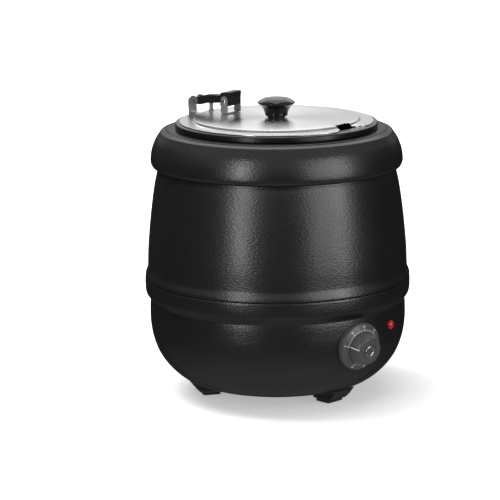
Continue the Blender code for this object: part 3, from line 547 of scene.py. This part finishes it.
# ---------------------------------------------------------------- vessels
def make_vessels():
    ring = ([(112.4, 345.5), (112.4, 348.6)] + arc(113.6, 348.6, 1.2, 180.0, 90.0, 6)
            + arc(126.1, 347.3, 2.5, 90.0, 0.0, 14) + [(128.6, 344.6)]
            + arc(127.7, 343.2, 0.9, 0.0, -90.0, 6) + [(126.9, 342.3), (126.3, 343.0), (126.3, 345.3),
                                                       (113.0, 345.4)])
    piece("pot_rim_ring_skin", lathe(ring, BODY_SEG), "ring_black", "pot", ["pot_rim_ring"])

    pot = ([(109.0, 344.0)] + arc(110.1, 344.0, 1.1, 180.0, 90.0, 5)
           + [(125.6, 345.1), (125.9, 344.5), (125.6, 343.9), (111.2, 343.9), (109.9, 343.2), (109.9, 84.0)]
           + arc(95.0, 84.2, 14.9, 0.0, -90.0, 12)
           + [(60.0, 69.1), (58.0, 69.6), (0.0, 69.6), (0.0, 70.4), (57.6, 70.4), (60.2, 70.0)]
           + arc(95.0, 84.0, 14.0, -90.0, 0.0, 12))
    piece("soup_pot_skin", lathe(pot, 200), "stainless", "pot", ["soup_pot"])

    well = ([(118.0, 343.0), (118.6, 343.6), (125.6, 343.6), (125.8, 343.0), (125.6, 342.2), (120.2, 342.2),
             (119.5, 341.4), (119.5, 66.0)] + arc(107.0, 66.0, 12.5, 0.0, -90.0, 10)
            + [(0.0, 53.5), (0.0, 55.0)] + arc(107.0, 66.0, 11.0, -90.0, 0.0, 10))
    piece("water_well_skin", lathe(well, 160), "aluminium", "kettle", ["water_well"])


# ---------------------------------------------------------------- lid and knob
def notch_outline():
    """Ladle notch, seen from above: x across it, y outward from the kettle's axis."""
    r0 = NOTCH_R
    inside = arc(11.4, r0 + 2.6, 2.6, -90.0, 0.0, 8)
    sweep = spline([(14.0, r0 + 3.4), (14.4, r0 + 8.0), (16.6, r0 + 11.2), (21.0, r0 + 13.4),
                    (25.8, r0 + 15.3), (29.4, r0 + 17.6), (31.6, r0 + 21.0), (33.0, r0 + 28.0)], 4)
    half = inside + sweep
    return [(-x, y) for x, y in half][::-1] + half


def make_lid():
    t = 1.0  # sheet thickness
    top = LID_TOP
    s = LID_STEP
    upper = [(2.7, top), (40.0, top), (80.0, top)] + arc(s - 0.9, top - 1.4, 1.4, 90.0, 22.0, 7)
    upper += arc(s + 2.9, 352.5, 1.4, 205.0, 270.0, 7)
    edge = arc(LID_R - 0.9, 350.6, 0.62, 60.0, -60.0, 7)
    lower = [(LID_R - 2.0, 350.1)] + arc(s + 2.8, 352.5, 2.4, 270.0, 205.0, 7)
    lower += arc(s - 1.1, top - 1.8, 0.8, 22.0, 90.0, 6) + [(80.0, top - t), (40.0, top - t), (2.7, top - t)]
    obj = piece("lid_skin", lathe(upper + [(LID_R - 2.0, 351.1)] + edge + lower, LID_SEG), "stainless",
                "lid_group", ["lid"])
    at = columns(side(NOTCH_AZ), azimuth(NOTCH_AZ), UP, UP * 345.0)
    back = columns(side(HINGE_AZ), azimuth(HINGE_AZ), UP, UP * 345.0)
    slot = [(-10.0, 130.0)] + arc(-8.0, 112.0, 2.0, 180.0, 270.0, 6) + arc(8.0, 112.0, 2.0, -90.0, 0.0, 6)
    slot += [(10.0, 130.0)]
    cut(obj, [(prism(notch_outline(), 20.0), at), (prism(slot, 20.0), back)])

    z = top + GAP
    washer = [(2.6, z + 1.4), (10.4, z + 1.4), (11.0, z + 0.9), (11.0, z), (2.6, z)]
    piece("knob_washer_skin", lathe(washer, 64), "matt_black", "lid_group", ["knob_washer"])
    z += 1.4 + GAP  # the knob stands just above the washer
    side_line = spline([(13.4, z), (14.3, z + 0.9), (14.6, z + 2.4), (15.2, z + 5.2), (16.7, z + 8.3),
                        (19.2, z + 11.8), (21.8, z + 14.4), (23.3, z + 15.7), (23.9, z + 16.5)], 5)
    rim = [(24.0, z + 16.9), (24.0, z + 17.2), (23.8, z + 17.5)]
    cone = spline([(23.0, z + 18.2), (20.6, z + 19.9), (18.0, z + 21.3), (16.4, z + 22.1)], 4)
    crown = [(15.7, z + 22.45), (15.0, z + 22.6), (14.2, z + 22.5)]
    crown += spline([(13.2, z + 22.2), (9.0, z + 21.7), (4.0, z + 21.5), (0.6, z + 21.4)], 3)
    knob = [(2.4, z)] + side_line + rim + cone + crown + [(0.0, z + 21.4), (0.0, z + 13.0), (2.4, z + 13.0)]
    piece("lid_knob_skin", lathe(knob, 96), "gloss_black", "lid_group", ["lid_knob"])


# ---------------------------------------------------------------- hinge
def make_hinge():
    h, t = 15.5, 1.2  # half width of the bracket, thickness of its strip
    z0 = LID_TOP + GAP
    # U strip standing on the lid, its ears across the hinge line
    left = [(h, BRACKET_TOP), (h, z0 + 2.4)] + arc(h - 2.4, z0 + 2.4, 2.4, 0.0, -90.0, 6)
    outline = left + [(-x, y) for x, y in left[::-1]]
    inside = [(-h + t, BRACKET_TOP), (-h + t, z0 + 2.4)] + arc(-h + 2.4, z0 + 2.4, 1.2, 180.0, 270.0, 6)
    outline += inside + [(-x, y) for x, y in inside[::-1]]
    across = columns(side(HINGE_AZ), UP, azimuth(HINGE_AZ)) @ Matrix.Translation((0.0, 0.0, 65.0))
    bracket = piece("lid_bracket_skin", prism(outline, 10.0), "bracket", "lid_group",
                    ["lid_bracket"], across)
    line = HINGE_SIDE @ Matrix.Translation((RIVET_U, RIVET_Z, 0.0))
    crown = arc(RIVET_U, BRACKET_TOP - 5.0, 5.0, 0.0, 180.0, 14)
    keep = ([(RIVET_U - 6.0, BRACKET_TOP - 5.0), (RIVET_U - 6.0, BRACKET_TOP + 4.0),
             (RIVET_U + 6.0, BRACKET_TOP + 4.0), (RIVET_U + 6.0, BRACKET_TOP - 5.0)] + crown)
    ear_cut = HINGE_SIDE @ Matrix.Translation((0.0, 0.0, -20.0))
    cut(bracket, [(prism(keep, 40.0), ear_cut), (rod(2.1, -20.0, 20.0, 32), line)])
    bevel(bracket, 0.25, 2, 50.0)

    head = [(1.8, h + GAP), (3.2, h + GAP), (3.2, h + 0.6), (2.6, h + 1.2), (1.6, h + 1.65), (0.0, h + 1.7)]
    rivet = [(r, -z) for r, z in head[::-1]] + head
    piece("bracket_rivet_skin", lathe(rivet, 32), "bright_steel", "lid_group",
          ["bracket_rivet"], line)

    # arm: moulded bar with a cross block held between the ears
    hb = h - t - GAP
    block = ([(64.0, 366.2)] + arc(66.0, 366.2, 1.9, 180.0, 270.0, 6)
             + [(76.2, 363.8), (77.0, 364.6), (77.0, 378.6), (75.9, 380.9)]
             + arc(74.6, 380.4, 1.5, 25.0, 85.0, 5) + [(66.0, 382.4)]
             + arc(65.0, 380.9, 1.6, 85.0, 165.0, 6) + [(63.2, 379.8), (64.0, 374.0)])
    arm = piece("hinge_arm_skin", prism(block, 2.0 * hb), "matt_black", "lid_group",
                ["hinge_arm"], HINGE_SIDE @ Matrix.Translation((0.0, 0.0, -hb)))
    pu, pz = PIVOT_U, PIVOT_Z
    bar = ([(74.0, 367.8), (84.0, 366.9), (104.0, 365.2), (107.4, 363.9), (111.4, 362.8), (115.0, 362.5)]
           + arc(pu, pz, 4.8, -110.0, 108.0, 18) + [(114.0, 373.2), (108.0, 375.0), (101.0, 376.0),
                                                    (90.0, 376.5), (74.0, 376.9)])
    cut(arm, [(prism(bar, 14.0), HINGE_SIDE @ Matrix.Translation((0.0, 0.0, -7.0)))], "UNION")
    groove = [(80.4, 369.2), (102.0, 367.6), (105.6, 366.8), (108.6, 368.4), (107.6, 372.4), (101.4, 373.6),
              (80.4, 374.6), (79.0, 373.4), (79.0, 370.4)]
    pivot = HINGE_SIDE @ Matrix.Translation((pu, pz, 0.0))
    post_hole = HINGE @ Matrix.Translation((0.0, 100.8, 0.0))
    cut(arm, [(rod(2.1, -20.0, 20.0, 32), line), (rod(2.3, -20.0, 20.0, 32), pivot),
              (rod(2.1, 350.0, 371.2, 24), post_hole),
              (prism(groove, 1.0), HINGE_SIDE @ Matrix.Translation((0.0, 0.0, 6.4))),
              (prism(groove, 1.0), HINGE_SIDE @ Matrix.Translation((0.0, 0.0, -7.4)))])
    bevel(arm, 0.55, 3, 35.0)

    post = [(0.0, z0), (3.1, z0), (3.1, z0 + 1.0), (2.5, z0 + 1.6), (2.5, z0 + 8.4), (2.7, z0 + 9.0),
            (2.7, z0 + 10.0), (1.8, z0 + 10.0), (1.8, 370.6), (0.0, 370.6)]
    piece("arm_post_skin", lathe(post, 32), "zinc_steel", "lid_group", ["arm_post"], post_hole)
    pin = [(0.0, -10.4), (1.8, -10.35), (2.6, -10.0), (3.0, -9.4), (3.0, -8.9), (2.0, -8.9), (2.0, 9.2),
           (1.5, 9.7), (0.0, 9.8)]
    piece("hinge_pin_skin", lathe(pin, 32), "bright_steel", "pot", ["hinge_pin"], pivot)

    # hook: web over the rim ring, with an ear on each side of the arm
    seat, lip, ht = RING_TOP + GAP, RING_R + 0.6, 1.2
    outer = spline([(pu + 8.6, pz + 3.0), (pu + 9.5, pz + 0.6), (pu + 9.8, pz - 3.0), (pu + 9.5, pz - 9.0),
                    (pu + 9.1, pz - 14.5)], 5) + [(lip + ht, 350.4), (lip + ht, 345.8)]
    foot = arc(lip + ht / 2.0, 345.8, ht / 2.0, 0.0, -180.0, 7)
    tongue = [(lip, seat), (113.2, seat), (112.8, seat + 0.4), (112.8, seat + 0.9), (113.2, seat + ht),
              (lip - 0.6, seat + ht), (lip + 0.1, seat + ht + 0.8)]
    back = spline([(pu + 7.9, pz - 14.2), (pu + 8.3, pz - 9.0), (pu + 8.6, pz - 3.0), (pu + 8.3, pz + 0.2),
                   (pu + 7.5, pz + 2.4)], 5)
    web = prism(outer + foot + tongue + back, 17.0)
    hook = piece("rim_hook_skin", web, "bracket", "pot", ["rim_hook"],
                 HINGE_SIDE @ Matrix.Translation((0.0, 0.0, -8.5)))
    ear = (spline([(pu + 8.9, pz - 7.0), (pu + 6.4, pz - 5.4), (pu + 3.0, pz - 4.9), (pu - 0.4, pz - 4.8)], 4)
           + arc(pu, pz, 4.8, -105.0, -200.0, 12)
           + spline([(pu - 4.2, pz + 3.0), (pu - 2.4, pz + 5.6), (pu + 1.6, pz + 6.6), (pu + 5.0, pz + 5.6),
                     (pu + 8.2, pz + 2.0), (pu + 9.1, pz - 2.0)], 4))
    for x in (-8.5, 7.3):
        cut(hook, [(prism(ear, 1.2), HINGE_SIDE @ Matrix.Translation((0.0, 0.0, x)))], "UNION")
    cut(hook, [(rod(2.3, -20.0, 20.0, 32), pivot)])
    bevel(hook, 0.2, 2, 50.0)


# ---------------------------------------------------------------- dial
BOWL_WALL = [(164.0, 115.0), (164.15, 107.0), (164.0, 95.5), (162.2, 80.5), (158.8, 67.5), (153.9, 55.5),
             (147.7, 45.5)]


def wall_radius(z):
    """Outer radius of the bowl's wall at a height."""
    rows = spline(BOWL_WALL, 6)
    for (r0, z0), (r1, z1) in zip(rows, rows[1:]):
        if z1 <= z <= z0:
            return r0 + (r1 - r0) * (z - z0) / (z1 - z0)
    return rows[0][0]


def seat_depth(x, y, clearance):
    """Height in the dial's frame where a line along its axis comes this near the bowl's wall."""
    low, high = -8.0, 8.0
    for _ in range(24):
        mid = (low + high) / 2.0
        p = DIAL @ Vector((x, y, mid))
        if math.hypot(p.x, p.y) - wall_radius(p.z) > clearance:
            high = mid
        else:
            low = mid
    return high


REST_CLOCK, SCALE_SWEEP, SCALE_STEPS, STEPS_PER_NUMBER = -78.0, 285.0, 42, 6
STROKE_R, NUMBER_R, NUMBER_SIZE = 21.7, 26.6, 3.7
ROOT, STROKE_LIFT, NUMBER_LIFT = -0.05, 0.1, 0.15  # marks start inside the cone and stand on it
CONE_A, CONE_B = (28.6, 4.7), (21.4, 8.1)  # radius and height of the bezel's marked cone


def on_cone(r, lift):
    """Height of the marked cone at a radius."""
    k = (r - CONE_A[0]) / (CONE_B[0] - CONE_A[0])
    return CONE_A[1] + (CONE_B[1] - CONE_A[1]) * k + lift


def make_dial():
    profile = ([(30.2, None), (30.2, 2.2)] + arc(28.7, 2.9, 1.5, 0.0, 62.0, 6)[1:] + [CONE_A]
               + [(24.4, on_cone(24.4, 0.0)), CONE_B, (20.6, 8.2), (7.6, 8.2), (7.6, 6.4), (19.6, 6.4),
                  (26.6, 3.2), (28.4, None)])
    bm = bmesh.new()
    rows = []
    for r, z in profile:
        row = []
        for k in range(DIAL_SEG):
            a = 2.0 * math.pi * k / DIAL_SEG
            x, y = r * math.cos(a), r * math.sin(a)
            row.append(bm.verts.new((x, y, z if z is not None else seat_depth(x, y, GAP))))
        rows.append(row)
    for a, b in zip(rows, rows[1:] + rows[:1]):
        for k in range(DIAL_SEG):
            n = (k + 1) % DIAL_SEG
            bm.faces.new((a[k], a[n], b[n], b[k]))
    piece("dial_bezel_skin", bm, "dial_grey", "kettle", ["dial_bezel"], DIAL)

    # scale: raised strokes and numbers on the cone, clockwise from the pointer's rest place
    bm = bmesh.new()
    for k in range(SCALE_STEPS + 1):
        clock = math.radians(REST_CLOCK + SCALE_SWEEP * k / SCALE_STEPS)
        r1, half = (24.4, 0.42) if k % STEPS_PER_NUMBER == 0 else (23.4, 0.28)
        out = Vector((math.sin(clock), math.cos(clock)))
        across = Vector((out.y, -out.x))
        corners = [out * r + across * w for r, w in
                   ((STROKE_R, -half), (STROKE_R, half), (r1, half), (r1, -half))]
        low = [bm.verts.new((q.x, q.y, on_cone(q.length, ROOT))) for q in corners]
        high = [bm.verts.new((q.x, q.y, on_cone(q.length, STROKE_LIFT))) for q in corners]
        bm.faces.new(low)
        bm.faces.new(high)
        for i in range(4):
            n = (i + 1) % 4
            bm.faces.new((low[i], low[n], high[n], high[i]))
    slope = math.atan2(CONE_B[1] - CONE_A[1], CONE_A[0] - CONE_B[0])
    for k in range(SCALE_STEPS // STEPS_PER_NUMBER + 1):
        text = "0" if k == 0 else str(20 + 10 * k)
        clock = math.radians(REST_CLOCK + SCALE_SWEEP * STEPS_PER_NUMBER * k / SCALE_STEPS)
        out = Vector((math.sin(clock), math.cos(clock), 0.0))
        across = Vector((out.y, -out.x, 0.0))
        normal = (out * math.sin(slope) + UP * math.cos(slope)).normalized()
        m = columns(across, normal.cross(across), normal, out * NUMBER_R + UP * on_cone(NUMBER_R, ROOT))
        add_text(bm, text, NUMBER_SIZE, NUMBER_LIFT, m)
    piece("dial_scale", bm, "dial_white", "kettle", (), DIAL)

    k = 21.0  # knob radius; the pointer's stations follow its side
    grip = spline([(k, 9.2), (k - 0.1, 10.4), (k - 0.9, 14.0), (k - 2.2, 18.2), (k - 3.2, 20.4)], 4)
    knob = ([(3.4, 8.4), (k - 0.8, 8.5)] + grip + arc(k - 5.9, 19.6, 2.8, 10.0, 84.0, 8)
            + [(11.0, 22.6), (9.0, 22.3), (8.2, 22.0), (8.0, 21.4), (0.0, 21.4), (0.0, 18.0), (3.4, 18.0)])
    piece("dial_knob_skin", lathe(knob, DIAL_SEG), "dial_grey", "dial", ["dial_knob"], DIAL)
    bm = bmesh.new()
    stations = [(k - 0.05, 9.3), (k - 0.05, 10.4), (k - 0.85, 14.0), (k - 2.15, 18.2), (k - 2.95, 20.2),
                (k - 4.0, 21.5)]
    rows = []
    for r, z in stations:
        rows.append([bm.verts.new((w, r + d, z + e)) for w, d, e in
                     ((-0.6, 0.16, 0.12), (0.6, 0.16, 0.12), (0.6, -0.5, -0.35), (-0.6, -0.5, -0.35))])
    for a, b in zip(rows, rows[1:]):
        for i in range(4):
            n = (i + 1) % 4
            bm.faces.new((a[i], a[n], b[n], b[i]))
    bm.faces.new(rows[0])
    bm.faces.new(rows[-1])
    piece("dial_pointer", bm, "dial_white", "dial", (),
          DIAL @ Matrix.Rotation(-math.radians(REST_CLOCK), 4, "Z"))

    cap = ([(0.0, 21.7), (7.4, 21.7), (7.6, 22.2)] + arc(6.7, 23.0, 0.9, 0.0, 90.0, 7)
           + [(5.6, 23.9)] + arc(5.4, 23.4, 0.5, 90.0, 180.0, 5) + [(4.7, 22.9), (0.0, 22.9)])
    piece("dial_cap_skin", lathe(cap, 72), "bright_steel", "dial", ["dial_cap"], DIAL)


def add_text(bm, text, size, depth, place):
    """Extruded numerals of the built-in font, centred on the frame's origin, joined into a bmesh."""
    curve = bpy.data.curves.new("numerals", "FONT")
    curve.body = text
    curve.size = size
    curve.align_x = "CENTER"
    curve.align_y = "CENTER"
    curve.extrude = depth / 2.0
    curve.resolution_u = 3
    obj = bpy.data.objects.new("numerals", curve)
    bpy.context.scene.collection.objects.link(obj)
    dg = bpy.context.evaluated_depsgraph_get()
    mesh = bpy.data.meshes.new_from_object(obj.evaluated_get(dg))
    mesh.transform(place @ Matrix.Translation((0.0, 0.0, depth / 2.0)))
    bm.from_mesh(mesh)
    bpy.data.objects.remove(obj)
    bpy.data.curves.remove(curve)
    bpy.data.meshes.remove(mesh)


# ---------------------------------------------------------------- lamp and gland
def make_fittings():
    r = 5.6  # lens radius
    dome = ([(0.0, -6.0), (4.0, -6.0), (4.0, 0.35), (r - 0.2, 0.35), (r, 0.6), (r, 1.2)]
            + spline([(r - 0.2, 1.7), (r - 0.9, 2.9), (r - 2.0, 3.9), (2.2, 4.7), (0.9, 5.1), (0.2, 5.2)], 4)
            + [(0.0, 5.2)])
    piece("lamp_lens_skin", lathe(dome, 64), "red_lens", "kettle", ["lamp_lens"], LAMP)

    def hexed(flat, r_min, z0, z1):
        """Warp of the rings past r_min, between two heights, to a hexagon of half width flat."""
        def warp(a, r, z):
            if r > r_min and z0 <= z <= z1:
                wrapped = (a + math.pi / 6.0) % (math.pi / 3.0) - math.pi / 6.0
                return min(r, flat / math.cos(wrapped)), z
            return r, z
        return warp

    body = [(4.2, -11.0), (6.4, -11.0), (7.0, -10.4), (7.0, 0.4), (10.6, 0.4), (11.5, 1.0), (11.5, 5.8),
            (10.7, 6.8), (10.2, 7.0), (4.2, 7.0)]
    piece("cable_gland_skin", lathe(body, 96, hexed(10.1, 9.0, 0.3, 7.1)), "matt_black", "kettle",
          ["cable_gland"], GLAND)

    def ribbed(a, r, z):
        """Grip ribs round the nut."""
        if r > 9.6 and 8.0 < z < 15.5:
            return r - 0.5 * max(0.0, math.cos(16.0 * a)) ** 2, z
        return r, z

    nut = ([(4.2, 7.3), (10.4, 7.3), (11.0, 7.9), (11.0, 8.6), (11.0, 14.8), (10.8, 15.6)]
           + spline([(10.6, 16.4), (9.8, 19.4), (8.2, 22.0), (6.2, 23.6), (5.2, 24.0)], 4)
           + [(4.6, 23.9), (4.2, 23.4)])
    piece("gland_dome_nut_skin", lathe(nut, 192, ribbed), "matt_black", "kettle",
          ["gland_dome_nut"], GLAND)


def finish_nodes():
    """Procedural finishes on every CAD node that still shows."""
    slots = {s["node"]: s["material_slot"] for s in frame["record"]["subparts"]}
    for name, obj in NODES.items():
        slot = slots.get(name)
        mat = MATS["bracket"] if slot == "stainless" else MATS[slot]
        for k in range(max(1, len(obj.material_slots))):
            if not obj.material_slots:
                obj.data.materials.append(mat)
            else:
                obj.material_slots[k].material = mat


# ---------------------------------------------------------------- stage
CAMERA_AZ, CAMERA_EL, CAMERA_ROLL = -37.7, 12.3, -0.4
TARGET = Vector((0.0, 0.0, 0.1855))
CAMERA_D = 3.0
CAMERA_F, FRAME_PX = 2337.0, 500.0  # focal length and frame, in pixels
CAMERA_SHIFT = (-0.0546, -0.0056)
SENSOR_MM = 36.0


def make_camera():
    cam = bpy.data.cameras.new("camera")
    cam.sensor_width = SENSOR_MM
    cam.lens = CAMERA_F / FRAME_PX * SENSOR_MM
    cam.shift_x, cam.shift_y = CAMERA_SHIFT
    cam.clip_start, cam.clip_end = 0.05, 60.0
    obj = bpy.data.objects.new("camera", cam)
    bpy.context.scene.collection.objects.link(obj)
    a, e = math.radians(CAMERA_AZ), math.radians(CAMERA_EL)
    back = Vector((math.sin(a) * math.cos(e), -math.cos(a) * math.cos(e), math.sin(e)))
    right = UP.cross(back).normalized()
    up = back.cross(right)
    c, s = math.cos(math.radians(CAMERA_ROLL)), math.sin(math.radians(CAMERA_ROLL))
    obj.matrix_world = columns(right * c + up * s, up * c - right * s, back, TARGET + back * CAMERA_D)
    bpy.context.scene.camera = obj


def area(name, az, elevation, distance, width, height, power, aim):
    """Soft box at an azimuth measured from the camera, toward its right; aim is a height on the axis."""
    data = bpy.data.lights.new(name, "AREA")
    data.shape = "RECTANGLE"
    data.size, data.size_y = width, height
    data.energy = power
    obj = bpy.data.objects.new(name, data)
    bpy.context.scene.collection.objects.link(obj)
    e = math.radians(elevation)
    n = azimuth(CAMERA_AZ + az) * math.cos(e) + UP * math.sin(e)
    x = UP.cross(n).normalized()
    obj.matrix_world = columns(x, n.cross(x), n, n * distance + UP * aim)
    obj.visible_camera = False
    return obj


AMBIENT_GLOSS, TABLE_GLOSS, CEILING_GLOSS, AMBIENT_DIFFUSE = 0.040, 0.24, 0.24, 0.40
FLOOR_R, FLOOR_Z, FLOOR_SIDES = 14.0, -0.0004, 64
STRIP_ELEVATION, STRIP_DISTANCE, STRIP_HEIGHT, STRIP_AIM = 14.0, 1.5, 1.1, 0.17
STRIPS = (("strip_left", -31.0, 0.28, 4.6), ("strip_right", 43.5, 0.86, 5.0), ("strip_edge", 59.0, 0.30, 2.3))


def make_floor():
    """White sweep seen by the camera alone, clear from below; its glow is weaker near the kettle and brighter
    far away, painted light that fades the cast shadow out.
    """
    bm = bmesh.new()
    ring = []
    for k in range(FLOOR_SIDES):
        a = 2.0 * math.pi * k / FLOOR_SIDES
        ring.append(bm.verts.new((FLOOR_R * math.cos(a), FLOOR_R * math.sin(a), FLOOR_Z)))
    bm.faces.new(ring)
    floor = linked("floor", bm)
    s = Shader("floor_white")
    reach = s.node("ShaderNodeVectorMath", {0: s.coord}, operation="LENGTH").outputs["Value"]
    # glow rises with the distance from the axis: painted light that fills the far floor and fades the
    # kettle's cast shadow
    s.set(Base_Color=(0.78, 0.78, 0.78, 1.0), Roughness=0.9, Specular_IOR_Level=0.0,
          Emission_Color=(1.0, 1.0, 1.0, 1.0), Emission_Strength=s.span(reach, 0.36, 1.15, 0.13, 0.34))
    clear = s.node("ShaderNodeMixShader", {0: s.node("ShaderNodeNewGeometry").outputs["Backfacing"],
                                           1: s.bsdf.outputs[0],
                                           2: s.node("ShaderNodeBsdfTransparent").outputs[0]})
    s.tree.links.new(clear.outputs[0], s.tree.nodes["Material Output"].inputs["Surface"])
    floor.data.materials.append(s.mat)
    floor.visible_glossy = False
    floor.visible_shadow = False
    floor.visible_diffuse = False


def make_world():
    """White to the camera, even to matt surfaces, and to gloss a wall behind, a table and a ceiling."""
    world = bpy.data.worlds.new("studio")
    bpy.context.scene.world = world
    world.use_nodes = True
    world.cycles.sampling_method = "NONE"
    tree = world.node_tree
    new = tree.nodes.new
    bg = tree.nodes["Background"]
    bg.inputs["Color"].default_value = (1.0, 1.0, 1.0, 1.0)
    path = new("ShaderNodeLightPath")
    split = new("ShaderNodeSeparateXYZ")
    coord = new("ShaderNodeTexCoord")
    tree.links.new(coord.outputs["Generated"], split.inputs[0])

    def lobe(value, start, end, low, high):
        n = new("ShaderNodeMapRange")
        n.interpolation_type = "SMOOTHSTEP"
        for key, x in (("From Min", start), ("From Max", end), ("To Min", low), ("To Max", high)):
            n.inputs[key].default_value = x
        tree.links.new(value, n.inputs["Value"])
        return n.outputs["Result"]

    def combine(operation, a, b):
        n = new("ShaderNodeMath")
        n.operation = operation
        tree.links.new(a, n.inputs[0])
        tree.links.new(b, n.inputs[1])
        return n.outputs[0]

    # cosine between a level heading and the one straight away from the camera
    dot = new("ShaderNodeVectorMath")
    dot.operation = "DOT_PRODUCT"
    dot.inputs[1].default_value = azimuth(CAMERA_AZ + 180.0)
    flat = new("ShaderNodeVectorMath")
    flat.operation = "MULTIPLY"
    flat.inputs[1].default_value = (1.0, 1.0, 0.0)
    tree.links.new(coord.outputs["Generated"], flat.inputs[0])
    heading = new("ShaderNodeVectorMath")
    heading.operation = "NORMALIZE"
    tree.links.new(flat.outputs[0], heading.inputs[0])
    tree.links.new(heading.outputs[0], dot.inputs[0])

    height = split.outputs[2]
    band = lobe(dot.outputs["Value"], 0.70, 0.97, 0.0, 1.0)  # bright wall behind the kettle
    low = lobe(height, -0.02, 0.14, 0.0, 0.62)               # only above the table
    high = lobe(height, 0.24, 0.42, 0.0, 0.95)               # brighter toward the top
    wall = combine("MULTIPLY", band, combine("ADD", low, high))
    table = lobe(height, -0.25, -0.9, AMBIENT_GLOSS, TABLE_GLOSS)
    ceiling = lobe(height, 0.12, 0.55, 0.0, CEILING_GLOSS)   # soft light from above, all round
    total = combine("ADD", wall, combine("ADD", table, ceiling))

    glossy = new("ShaderNodeMix")
    glossy.inputs[2].default_value = AMBIENT_DIFFUSE
    tree.links.new(path.outputs["Is Glossy Ray"], glossy.inputs[0])
    tree.links.new(total, glossy.inputs[3])
    camera = new("ShaderNodeMix")
    camera.inputs[3].default_value = 1.0
    tree.links.new(path.outputs["Is Camera Ray"], camera.inputs[0])
    tree.links.new(glossy.outputs[0], camera.inputs[2])
    tree.links.new(camera.outputs[0], bg.inputs["Strength"])


def make_lights():
    """Tall strips for the edges of the body, and a key that leaves no mirror image."""
    for name, az, width, power in STRIPS:
        area(name, az, STRIP_ELEVATION, STRIP_DISTANCE, width, STRIP_HEIGHT, power, STRIP_AIM)
    key = area("key", -105.0, 62.0, 2.4, 1.6, 1.6, 60.0, 0.0)
    key.visible_glossy = False


def make_stage():
    view = bpy.context.scene.view_settings
    view.view_transform = "Standard"
    view.look = "None"
    make_floor()
    make_world()
    make_lights()


make_camera()
make_body()
make_feet()
make_vessels()
make_lid()
make_hinge()
make_dial()
make_fittings()
finish_nodes()
make_stage()
